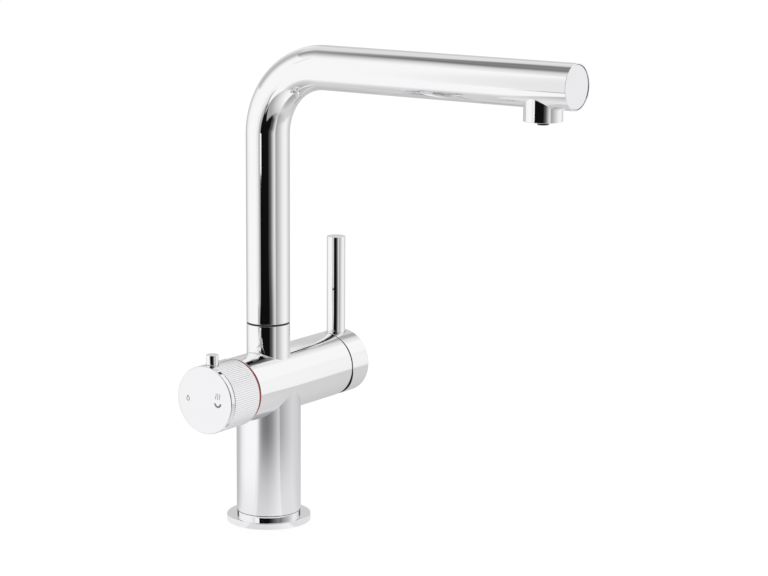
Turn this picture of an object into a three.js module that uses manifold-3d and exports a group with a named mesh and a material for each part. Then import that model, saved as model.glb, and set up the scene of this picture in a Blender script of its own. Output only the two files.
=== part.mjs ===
// A boiling water tap: a short chrome body with a swivel spout, a mixer lever and a boiling water knob.
// Millimetres, +Z up. The origin is the centre of the foot, on the worktop. The spout points to -Y,
// the knob to -X and the lever cap to +X.
import * as THREE from "three";
import { mergeVertices } from "three/addons/utils/BufferGeometryUtils.js";
import Module from "manifold-3d";

const wasm = await Module();
wasm.setup();

// ---- Driving dimensions ----

const CLEARANCE = 0.3; // between pieces that touch or turn in each other
const stopPlay = 1.2; // degrees that a stop leaves past the end of a turn
const EDGE = 0.5; // chamfer on the visible edges
const FACETS = { large: 44, medium: 24, small: 16, pipe: 12, tiny: 8 };

// Foot
const flangeR = 31;
const flangeThickness = 5;
const collarHeight = 3; // polished ring that carries the column
const footBoreR = 17; // bore of the flange
const plugHeadLength = 13.7; // part of the plug inside the column
const portR = 4.7; // tail port for a hose, under each pipe
const portDepth = 11;
const portFloor = 3; // between a port and the socket of its pipe
const portPitch = 7.5; // of the four ports, from both centre lines
const studHoleR = 2.6;
const studHoleDepth = 14;
const studHoleX = 12.6;
const pipeR = 4;
const pipeWall = 1;
const pipeSocketDepth = 8;
const waterwayR = 1.9; // drilled from the pipes to the valves

// Body
const columnR = 23.8;
const columnWall = 3.3;
const bodyR = 24.25;
const bodyAxisZ = 105;
const bodyFloor = 21; // from the body's axis down to the top of the column's bore
const bodyLeft = 40; // from the centre line to the red ring
const bodyRight = 72.5; // from the centre line to the lever cap
const stubHeight = 44.3; // from the body's axis to the top of the stub
const stubFloor = 17; // from the body's axis up to the floor of the stub's bore
const stubWall = 2.8;

// Spout
const tubeR = 16;
const tubeWall = 1.5;
const bendR = 48;
const spoutAxisZ = 340;
const spoutReach = 258; // from the centre line to the end of the tube
const outletFromEnd = 26; // from the end of the tube back to the axis of the outlet
const outletR = 13.4;
const outletWall = 1.9;
const outletDrop = 24.5; // from the axis of the tube to the face of the outlet
const endCapRim = 0.8; // of the tube, round its end cap
const endCapThickness = 3;
const spigotBoreR = 9.5;
const spigotHeight = 25; // of the spigot inside the tube
const swivelRingThickness = 0.9;
const swivelGap = 0.2;
const grubScrewR = 2.2; // of the screw that limits the spout's turn
const spoutTurn = 75; // degrees to each side

// Boiling water line
const riserPinR = 3.5;
const riserPinBoreR = 2;
const riserPinSocketDepth = 6;
const ferruleWall = 2;
const ferruleLength = 14;
const ferruleGap = 3; // from the top of the stub up to the ferrule
const hoseR = 4;
const hoseWall = 1.4;
const hoseBendR = 14;
const nozzleR = 4;
const nozzleWall = 1.5;
const aeratorSlots = 10; // round the nozzle
const nozzleStandOut = 2.4;

// Knob and its valve
const knobStandOut = 0.5; // of the knob's radius beyond the body's
const knobRibDepth = 0.45;
const knobRibs = 96;
const knobWall = 3.3;
const knobSleeveLength = 28.6;
const knobCapWall = 2.4;
const knobRim = 4; // polished rim of the knob's cap
const redRingThickness = 1.3;
const stopRingSeat = 5.7; // depth of the stop ring in the body
const stopRingLip = 2.1; // of the stop ring inside the knob
const stopLugLength = 6;
const knobTurn = 90; // degrees to each side
const valveDiscR = 9.3;
const valveDiscThickness = 3;
const valvePortR = 1.8;
const valvePortPitch = 5; // from the valve's axis to each inlet
const bonnetWall = 3.1;
const bonnetDepth = 17.7; // of the bonnet inside the body
const spindleR = 4;
const buttonR = 4.45;
const buttonCollar = 1.15; // of the button, under the wall of the knob's cap
const buttonCollarThickness = 3;
const buttonFromRim = 5.2; // from the rim to the middle of the button
const buttonStandOut = 7.25;

// Lever and its cartridge
const leverCapLength = 20.5;
const leverCapWall = 3;
const leverSeam = 0.8;
const leverRodR = 7;
const leverRodFromSeam = 11.2;
const leverRise = 97.4; // from the body's axis to the tip of the lever
const leverTilt = 12; // degrees, from closed to fully open
const cartridgeR = 17.5;
const cartridgeWall = 3;
const cartridgePocketDepth = 48.5;
const nutRecessDepth = 12; // of the wider mouth of that pocket, where the nut screws in
const mixerDiscThickness = 3.5;
const mixerDiscPlay = 3; // room for the moving disc to slide, all round
const mixerChamberR = 5.2;
const mixerPorts = [
  [-5.2, 4.6],
  [-5.2, -4.6],
  [3, 0],
]; // hot, cold and mixed water, in the mixer's frame
const stemSize = 8;
const stemPinR = 1.5;

// ---- Materials ----

const finish = (color, roughness, metalness) =>
  new THREE.MeshStandardMaterial({ color, roughness, metalness });
const chrome = finish(0xdfe1e4, 0.05, 1);
const brass = finish(0xc2a15a, 0.35, 1);
const copper = finish(0xc4794f, 0.35, 1);
const steel = finish(0xb4b8bd, 0.3, 1);
const blackRubber = finish(0x17181a, 0.8, 0);
const blackPlastic = finish(0x1b1c1e, 0.45, 0);
const redPlastic = finish(0xc23a34, 0.4, 0);
const whitePlastic = finish(0xe9e7e2, 0.5, 0);
const greyPlastic = finish(0x8f9397, 0.5, 0);
const ceramic = finish(0xd9d5cc, 0.25, 0);
const silicone = finish(0xe4e2dc, 0.6, 0);

// ---- Solids ----

const degrees = THREE.MathUtils.degToRad;

function toSolid(geometry) {
  const bare = geometry.clone();
  bare.deleteAttribute("normal");
  bare.deleteAttribute("uv");
  const merged = mergeVertices(bare, 1e-4);
  return new wasm.Manifold(
    new wasm.Mesh({
      numProp: 3,
      vertProperties: new Float32Array(merged.attributes.position.array),
      triVerts: new Uint32Array(merged.index.array),
    }),
  );
}

function toGeometry(solid) {
  const mesh = solid.getMesh();
  const geometry = new THREE.BufferGeometry();
  geometry.setAttribute("position", new THREE.BufferAttribute(mesh.vertProperties, 3));
  geometry.setIndex(new THREE.BufferAttribute(mesh.triVerts, 1));
  geometry.computeVertexNormals();
  return geometry;
}

// A solid turned about Z, from an outline of [radius, height] points that runs up its outer side.
function turned(outline, facets) {
  const points = outline.map(([r, z]) => new THREE.Vector2(r, z));
  points.push(points[0].clone());
  return toSolid(new THREE.LatheGeometry(points, facets).rotateX(Math.PI / 2));
}

function ring(innerR, outerR, bottom, top, facets = FACETS.small) {
  return turned([[innerR, bottom], [outerR, bottom], [outerR, top], [innerR, top]], facets);
}

function rod(r, bottom, top, facets = FACETS.small) {
  return ring(0, r, bottom, top, facets);
}

// A rod with a chamfer round its top edge.
function chamferedRod(r, bottom, top, edge, facets) {
  return turned([[0, bottom], [r, bottom], [r, top - edge], [r - edge, top], [0, top]], facets);
}

function oRing(middleR, wireR, height, facets = FACETS.small) {
  const sides = 5;
  const outline = [];
  for (let i = 0; i < sides; i++) {
    const angle = (2 * Math.PI * (i + 0.5)) / sides;
    outline.push([middleR + wireR * Math.cos(angle), height + wireR * Math.sin(angle)]);
  }
  return turned(outline, facets);
}

function block(from, to) {
  const size = to.map((value, i) => value - from[i]);
  const middle = to.map((value, i) => (value + from[i]) / 2);
  return toSolid(new THREE.BoxGeometry(...size)).translate(middle);
}

function prism(shape, bottom, top, curveSegments) {
  const options = { depth: top - bottom, bevelEnabled: false, steps: 1, curveSegments };
  return toSolid(new THREE.ExtrudeGeometry(shape, options)).translate([0, 0, bottom]);
}

// A round hole's inside, drilled from one point to another.
function drill(r, from, to) {
  const start = new THREE.Vector3(...from);
  const line = new THREE.Vector3(...to).sub(start);
  const length = line.length();
  const turn = new THREE.Quaternion().setFromUnitVectors(new THREE.Vector3(0, 0, 1), line.normalize());
  const geometry = new THREE.CylinderGeometry(r, r, length, FACETS.tiny).rotateX(Math.PI / 2);
  geometry.translate(0, 0, length / 2).applyQuaternion(turn).translate(...start.toArray());
  return toSolid(geometry);
}

// Part of a ring, between two angles in degrees from +X.
function ringSector(innerR, outerR, bottom, top, from, to) {
  const shape = new THREE.Shape();
  shape.absarc(0, 0, outerR, degrees(from), degrees(to), false);
  shape.absarc(0, 0, innerR, degrees(to), degrees(from), true);
  return prism(shape, bottom, top, FACETS.tiny);
}

const alongX = (solid) => solid.rotate([0, 90, 0]);
const alongMinusX = (solid) => solid.rotate([0, -90, 0]);
const alongY = (solid) => solid.rotate([-90, 0, 0]);

// A path through corner points, each right-angled corner rounded by an arc of its own radius.
class RoundedPath extends THREE.Curve {
  constructor(corners, radii, arcSteps) {
    super();
    this.stations = [];
    corners.forEach((corner, i) => {
      const into = i > 0 ? corner.clone().sub(corners[i - 1]).normalize() : null;
      const out = i < corners.length - 1 ? corners[i + 1].clone().sub(corner).normalize() : null;
      if (!into || !out) {
        this.stations.push({ point: corner, tangent: into || out });
        return;
      }
      this.addArc(corner, into, out, radii[i - 1], arcSteps[i - 1]);
    });
  }

  addArc(corner, into, out, radius, steps) {
    const centre = corner.clone().addScaledVector(into, -radius).addScaledVector(out, radius);
    for (let step = 0; step <= steps; step++) {
      const angle = (Math.PI / 2) * (step / steps);
      const point = centre.clone();
      point.addScaledVector(out, -radius * Math.cos(angle));
      point.addScaledVector(into, radius * Math.sin(angle));
      const tangent = into.clone().multiplyScalar(Math.cos(angle));
      tangent.addScaledVector(out, Math.sin(angle));
      this.stations.push({ point, tangent });
    }
  }

  get steps() {
    return this.stations.length - 1;
  }

  between(t, key) {
    const place = Math.min(Math.max(t, 0), 1) * this.steps;
    const index = Math.min(Math.floor(place), this.steps - 1);
    const from = this.stations[index][key];
    return from.clone().lerp(this.stations[index + 1][key], place - index);
  }

  getPoint(t) {
    return this.between(t, "point");
  }

  getTangent(t) {
    return this.between(t, "tangent").normalize();
  }

  // One step of the sweep for each station.
  getUtoTmapping(u) {
    return u;
  }
}

function swept(path, r, facets) {
  const circle = new THREE.Shape();
  circle.absarc(0, 0, r, 0, 2 * Math.PI, false);
  const options = { extrudePath: path, steps: path.steps, curveSegments: facets / 2 };
  return toSolid(new THREE.ExtrudeGeometry(circle, options));
}

const tap = new THREE.Group();

function addGroup(height, turnAboutY) {
  const group = new THREE.Group();
  group.position.z = height;
  group.rotation.y = turnAboutY;
  tap.add(group);
  return group;
}

const standing = addGroup(0, 0);
// In the valve's frame Z runs out along the knob and X points up.
const valve = addGroup(bodyAxisZ, -Math.PI / 2);
// In the mixer's frame Z runs out along the lever cap and X points down.
const mixer = addGroup(bodyAxisZ, Math.PI / 2);

function piece(group, name, material, solid) {
  const mesh = new THREE.Mesh(toGeometry(solid), material);
  mesh.name = name;
  group.add(mesh);
}

// ---- Sizes that follow ----

const collarTopZ = flangeThickness + collarHeight;
const columnFootZ = collarTopZ + CLEARANCE;
const columnBoreR = columnR - columnWall;
const plugShoulderZ = columnFootZ;
const plugTopZ = plugShoulderZ + plugHeadLength;
const columnBoreTopZ = bodyAxisZ - bodyFloor;
const pipeBottomZ = portDepth + portFloor;
const pipeTopZ = columnBoreTopZ + pipeSocketDepth;
const pipeHoleR = pipeR + CLEARANCE;

const stubTopZ = bodyAxisZ + stubHeight;
const stubBoreR = tubeR - stubWall;
const stubFloorZ = bodyAxisZ + stubFloor;
const spigotR = stubBoreR - CLEARANCE;
const spigotBottomZ = stubFloorZ + 2;
const spigotGroove = 1.5; // depth of its grooves
const riserPinFloorZ = stubFloorZ - riserPinSocketDepth;
const swivelRingZ = stubTopZ + swivelGap;
const tubeBottomZ = swivelRingZ + swivelRingThickness + swivelGap;
const grubScrewZ = (spigotBottomZ + stubTopZ) / 2;
const ferruleBottomZ = stubTopZ + ferruleGap;
const ferruleTopZ = ferruleBottomZ + ferruleLength;
const tubeBoreR = tubeR - tubeWall;
const outletReach = spoutReach - outletFromEnd;
const outletFaceZ = spoutAxisZ - outletDrop;
const outletBoreR = outletR - outletWall;

const knobR = bodyR + knobStandOut;
const redRingStart = bodyLeft + CLEARANCE;
const sleeveStart = redRingStart + redRingThickness + CLEARANCE;
const sleeveEnd = sleeveStart + knobSleeveLength;
const knobCapStart = sleeveEnd + CLEARANCE;
const knobFace = knobCapStart + knobRim;
const knobBoreR = knobR - knobWall - knobRibDepth;
const stopRingR = knobBoreR - CLEARANCE;
const stopRingStart = bodyLeft - stopRingSeat;
const stopRingEnd = sleeveStart + stopRingLip;
const bonnetR = valveDiscR + CLEARANCE + bonnetWall;
const bonnetStart = bodyLeft - bonnetDepth;
const valveFloor = bonnetStart - CLEARANCE;
const bonnetHexR = bonnetR + 1.9;
const bonnetNeckR = 7.5;
const bonnetNeckEnd = stopRingEnd + 2;
const buttonAxis = knobCapStart - buttonFromRim;
const buttonCollarR = buttonR + buttonCollar;
const hubEnd = buttonAxis - buttonCollarR - 2;
const hubDiscStart = hubEnd - 4;
const hubWeb = 2; // of the hub in front of the spindle
const spindleFlat = 3.2; // from the spindle's axis to each of its two flats

const pocketR = cartridgeR + CLEARANCE;
const pocketFloor = bodyRight - cartridgePocketDepth;
const housingBoreR = cartridgeR - cartridgeWall;
const mixerDiscR = housingBoreR - mixerDiscPlay;
const nutThreadR = cartridgeR + 1.5;
const leverCapStart = bodyRight + leverSeam;
const leverCapEnd = leverCapStart + leverCapLength;
const leverRodX = leverCapStart + leverRodFromSeam;

// Each pipe's side of the two centre lines.
const pipes = [
  { name: "hot_pipe", side: [1, 1] },
  { name: "cold_pipe", side: [1, -1] },
  { name: "boiling_pipe", side: [-1, 1] },
  { name: "filtered_pipe", side: [-1, -1] },
];

// ---- Foot ----

function addFoot() {
  const sealGroove = { innerR: flangeR - 6, outerR: flangeR - 2.4, depth: 1.6 };
  const sealPlay = CLEARANCE;

  const flange = turned(
    [
      [footBoreR, 0],
      [flangeR, 0],
      [flangeR, flangeThickness - EDGE],
      [flangeR - EDGE, flangeThickness],
      [columnR, flangeThickness],
      [columnR, collarTopZ],
      [footBoreR, collarTopZ],
    ],
    FACETS.large,
  ).subtract(ring(sealGroove.innerR, sealGroove.outerR, -1, sealGroove.depth, FACETS.medium));
  piece(standing, "base_flange", chrome, flange);

  const seal = ring(
    sealGroove.innerR + sealPlay,
    sealGroove.outerR - sealPlay,
    0,
    sealGroove.depth - sealPlay,
    FACETS.medium,
  );
  piece(standing, "worktop_seal", blackRubber, seal);

  const plugTailR = footBoreR - CLEARANCE;
  const plugHeadR = columnBoreR - CLEARANCE;
  const columnSealWireR = 0.85;
  const columnSealZ = plugShoulderZ + plugHeadLength / 2;
  const grooveHalf = columnSealWireR + CLEARANCE;
  const grooveFloorR = columnBoreR - 2 * columnSealWireR - sealPlay;
  let plug = turned(
    [
      [0, 0],
      [plugTailR, 0],
      [plugTailR, plugShoulderZ],
      [plugHeadR, plugShoulderZ],
      [plugHeadR, columnSealZ - grooveHalf],
      [grooveFloorR, columnSealZ - grooveHalf],
      [grooveFloorR, columnSealZ + grooveHalf],
      [plugHeadR, columnSealZ + grooveHalf],
      [plugHeadR, plugTopZ],
      [0, plugTopZ],
    ],
    FACETS.small,
  );
  const passage = rod(portR, -1, portDepth, FACETS.pipe)
    .add(rod(pipeR - pipeWall, portDepth - 1, pipeBottomZ + 1, FACETS.tiny))
    .add(rod(pipeHoleR, pipeBottomZ, plugTopZ + 1, FACETS.pipe));
  const studHole = rod(studHoleR, -1, studHoleDepth, FACETS.tiny);
  for (const x of [-1, 1]) {
    for (const y of [-1, 1]) {
      plug = plug.subtract(passage.translate([x * portPitch, y * portPitch, 0]));
    }
    plug = plug.subtract(studHole.translate([x * studHoleX, 0, 0]));
  }
  piece(standing, "base_plug", brass, plug);
  piece(
    standing,
    "column_seal",
    blackRubber,
    oRing(columnBoreR - columnSealWireR - sealPlay / 2, columnSealWireR, columnSealZ),
  );

  const pipeStart = pipeBottomZ + CLEARANCE;
  const pipe = ring(pipeR - pipeWall, pipeR, pipeStart, pipeTopZ - CLEARANCE, FACETS.pipe);
  for (const { name, side } of pipes) {
    piece(standing, name, copper, pipe.translate([side[0] * portPitch, side[1] * portPitch, 0]));
  }
}

// ---- Body ----

function addBody() {
  const column = rod(columnR, columnFootZ, bodyAxisZ, FACETS.large);
  const bar = turned(
    [
      [0, -bodyLeft],
      [bodyR - EDGE / 2, -bodyLeft],
      [bodyR, -bodyLeft + EDGE / 2],
      [bodyR, bodyRight - EDGE / 2],
      [bodyR - EDGE / 2, bodyRight],
      [0, bodyRight],
    ],
    FACETS.large,
  );
  const stub = rod(tubeR, bodyAxisZ, stubTopZ, FACETS.medium);
  let body = column.add(alongX(bar).translate([0, 0, bodyAxisZ])).add(stub);

  body = body.subtract(rod(columnBoreR, columnFootZ - 1, columnBoreTopZ, FACETS.medium));
  body = body.subtract(rod(stubBoreR, stubFloorZ, stubTopZ + 1, FACETS.medium));
  const socket = rod(pipeHoleR, columnBoreTopZ - 1, pipeTopZ, FACETS.pipe);
  for (const { side } of pipes) {
    body = body.subtract(socket.translate([side[0] * portPitch, side[1] * portPitch, 0]));
  }
  const mixerPocket = rod(pocketR, pocketFloor, bodyRight + 1, FACETS.medium).add(
    rod(nutThreadR + CLEARANCE, bodyRight - nutRecessDepth, bodyRight + 1, FACETS.medium),
  );
  const valvePocket = rod(bonnetR + CLEARANCE, valveFloor, bodyLeft + 1, FACETS.small).add(
    rod(stopRingR + CLEARANCE, stopRingStart - CLEARANCE, bodyLeft + 1, FACETS.medium),
  );
  body = body.subtract(alongX(mixerPocket).translate([0, 0, bodyAxisZ]));
  body = body.subtract(alongMinusX(valvePocket).translate([0, 0, bodyAxisZ]));

  const screwHole = alongY(rod(grubScrewR + CLEARANCE, 0, tubeR + 1, FACETS.tiny));
  body = body.subtract(screwHole.translate([0, 0, grubScrewZ]));
  body = body.subtract(rod(riserPinR + CLEARANCE, riserPinFloorZ, stubFloorZ + 1, FACETS.pipe));
  for (const waterway of waterways()) body = body.subtract(waterway);
  piece(standing, "tap_body", chrome, body);
}

// The drilled ways: from the pipes to the mixer and the valve, and from these to the spout.
function waterways() {
  const overrun = 0.5; // past each end, into the space that it opens to
  const riserWay = (riserPinR + CLEARANCE + spigotBoreR) / 2;
  const mixerPort = ([x, y]) => [pocketFloor + overrun, y, bodyAxisZ - x];
  const valvePort = (y) => [-valveFloor - overrun, y, bodyAxisZ];
  const socketTop = ({ side }) => [side[0] * portPitch, side[1] * portPitch, pipeTopZ - overrun];
  const [hot, cold, boiling, filtered] = pipes.map(socketTop);
  const [hotPort, coldPort, mixedPort] = mixerPorts;
  return [
    drill(waterwayR, hot, mixerPort(hotPort)),
    drill(waterwayR, cold, mixerPort(coldPort)),
    drill(waterwayR, mixerPort(mixedPort), [riserWay, 0, stubFloorZ + overrun]),
    drill(valvePortR, boiling, valvePort(valvePortPitch)),
    drill(valvePortR, filtered, valvePort(-valvePortPitch)),
    drill(valvePortR, valvePort(0), [0, 0, riserPinFloorZ + overrun]),
  ];
}

// ---- Swivel ----

function addSwivel() {
  const spigotTopZ = tubeBottomZ + spigotHeight;
  const washer = ring(spigotBoreR + 0.5, spigotR, stubFloorZ + CLEARANCE, spigotBottomZ - CLEARANCE);
  piece(standing, "thrust_washer", whitePlastic, washer);

  const swivelRing = ring(
    stubBoreR + CLEARANCE,
    tubeR - CLEARANCE,
    swivelRingZ,
    swivelRingZ + swivelRingThickness,
    FACETS.medium,
  );
  piece(standing, "swivel_ring", blackPlastic, swivelRing);

  const grooveFloorR = spigotR - spigotGroove;
  const wireR = (stubBoreR - grooveFloorR - CLEARANCE) / 2;
  const groovePlay = 0.4; // above and below what runs in a groove
  const grooveHalf = wireR + groovePlay;
  const screwSlotHalf = grubScrewR + groovePlay;
  const sealHeights = [
    (spigotBottomZ + grubScrewZ - screwSlotHalf) / 2,
    (stubTopZ + grubScrewZ + screwSlotHalf) / 2,
  ];
  let spigot = turned(
    [
      [spigotBoreR, spigotBottomZ],
      [spigotR, spigotBottomZ],
      [spigotR, tubeBottomZ],
      [tubeBoreR - CLEARANCE, tubeBottomZ],
      [tubeBoreR - CLEARANCE, spigotTopZ],
      [spigotBoreR, spigotTopZ],
    ],
    FACETS.small,
  );
  for (const height of sealHeights) {
    spigot = spigot.subtract(ring(grooveFloorR, tubeR, height - grooveHalf, height + grooveHalf));
  }
  // The screw runs in this slot, whose ends stop the spout.
  const screwHalfAngle = THREE.MathUtils.radToDeg(Math.asin(grubScrewR / grooveFloorR));
  const slotHalfAngle = spoutTurn + screwHalfAngle + stopPlay;
  spigot = spigot.subtract(
    ringSector(
      grooveFloorR,
      tubeR,
      grubScrewZ - screwSlotHalf,
      grubScrewZ + screwSlotHalf,
      90 - slotHalfAngle,
      90 + slotHalfAngle,
    ),
  );
  piece(standing, "swivel_spigot", brass, spigot);
  const names = ["spigot_o_ring_lower", "spigot_o_ring_upper"];
  names.forEach((name, i) => {
    piece(standing, name, blackRubber, oRing((stubBoreR + grooveFloorR) / 2, wireR, sealHeights[i]));
  });

  const screw = alongY(rod(grubScrewR, grooveFloorR + 2 * CLEARANCE, tubeR - 0.4, FACETS.tiny));
  piece(standing, "spout_grub_screw", steel, screw.translate([0, 0, grubScrewZ]));

  const pinTopZ = ferruleTopZ - 2;
  const pin = ring(riserPinBoreR, riserPinR, riserPinFloorZ + CLEARANCE, pinTopZ, FACETS.pipe);
  piece(standing, "boiling_riser_pin", brass, pin);
}

// ---- Spout ----

// The tube's centre line, with both ends moved out by a given length.
function spoutLine(extra) {
  const corners = [
    new THREE.Vector3(0, 0, tubeBottomZ - extra),
    new THREE.Vector3(0, 0, spoutAxisZ),
    new THREE.Vector3(0, -spoutReach - extra, spoutAxisZ),
  ];
  return new RoundedPath(corners, [bendR], [10]);
}

function addSpout() {
  const outlet = [0, -outletReach, 0];
  const endCapR = tubeR - endCapRim - CLEARANCE;
  const endRebate = alongY(rod(endCapR + CLEARANCE, -1, endCapThickness + CLEARANCE, FACETS.medium));
  const tube = swept(spoutLine(0), tubeR, FACETS.medium)
    .add(rod(outletR, outletFaceZ, spoutAxisZ, FACETS.medium).translate(outlet))
    .subtract(swept(spoutLine(1), tubeBoreR, FACETS.medium))
    .subtract(rod(outletBoreR, outletFaceZ - 1, spoutAxisZ, FACETS.small).translate(outlet))
    .subtract(endRebate.translate([0, -spoutReach, spoutAxisZ]));
  piece(standing, "spout_tube", chrome, tube);

  const endCap = alongY(rod(endCapR, 0, endCapThickness, FACETS.medium));
  piece(standing, "spout_end_cap", chrome, endCap.translate([0, -spoutReach, spoutAxisZ]));

  const aeratorZ = outletFaceZ + 1;
  const aeratorTopZ = aeratorZ + 7.5;
  const sealWireR = 0.6;
  const sealPlay = 0.2;
  const sealZ = aeratorTopZ - 2;
  const aeratorR = outletBoreR - CLEARANCE;
  const nozzleCollar = { r: nozzleR + 2, thickness: 1 };
  const sealFloorR = outletBoreR - 2 * sealWireR - sealPlay;
  const slotHalfWidth = 0.9;
  const slotInnerR = nozzleCollar.r + CLEARANCE;
  let aerator = turned(
    [
      [nozzleR + CLEARANCE, aeratorZ],
      [aeratorR, aeratorZ],
      [aeratorR, sealZ - sealWireR - sealPlay],
      [sealFloorR, sealZ - sealWireR - sealPlay],
      [sealFloorR, sealZ + sealWireR + sealPlay],
      [aeratorR, sealZ + sealWireR + sealPlay],
      [aeratorR, aeratorTopZ],
      [nozzleR + CLEARANCE, aeratorTopZ],
    ],
    FACETS.small,
  );
  const slot = block(
    [slotInnerR, -slotHalfWidth, aeratorZ - 1],
    [sealFloorR - 1, slotHalfWidth, aeratorTopZ + 1],
  );
  for (let i = 0; i < aeratorSlots; i++) {
    aerator = aerator.subtract(slot.rotate([0, 0, (360 * i) / aeratorSlots]));
  }
  piece(standing, "aerator_insert", greyPlastic, aerator.translate(outlet));
  const outletSeal = oRing(outletBoreR - sealWireR - sealPlay / 2, sealWireR, sealZ);
  piece(standing, "outlet_o_ring", blackRubber, outletSeal.translate(outlet));

  const hoseEndZ = aeratorTopZ + nozzleCollar.thickness + 2 * CLEARANCE;
  const nozzle = turned(
    [
      [nozzleR - nozzleWall, outletFaceZ - nozzleStandOut],
      [nozzleR, outletFaceZ - nozzleStandOut],
      [nozzleR, aeratorTopZ + CLEARANCE],
      [nozzleCollar.r, aeratorTopZ + CLEARANCE],
      [nozzleCollar.r, hoseEndZ - CLEARANCE],
      [nozzleR - nozzleWall, hoseEndZ - CLEARANCE],
    ],
    FACETS.small,
  );
  piece(standing, "boiling_nozzle", blackPlastic, nozzle.translate(outlet));

  const ferruleBoreR = riserPinR + CLEARANCE;
  const ferrule = ring(ferruleBoreR, ferruleBoreR + ferruleWall, ferruleBottomZ, ferruleTopZ);
  piece(standing, "hose_ferrule", steel, ferrule);

  const hoseStartZ = ferruleTopZ + CLEARANCE;
  const hoseLine = (extra) =>
    new RoundedPath(
      [
        new THREE.Vector3(0, 0, hoseStartZ - extra),
        new THREE.Vector3(0, 0, spoutAxisZ),
        new THREE.Vector3(0, -outletReach, spoutAxisZ),
        new THREE.Vector3(0, -outletReach, hoseEndZ - extra),
      ],
      [bendR, hoseBendR],
      [8, 4],
    );
  const hose = swept(hoseLine(0), hoseR, 10).subtract(swept(hoseLine(1), hoseR - hoseWall, 8));
  piece(standing, "boiling_hose", silicone, hose);
}

// ---- Boiling water valve, in its own frame ----

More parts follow.
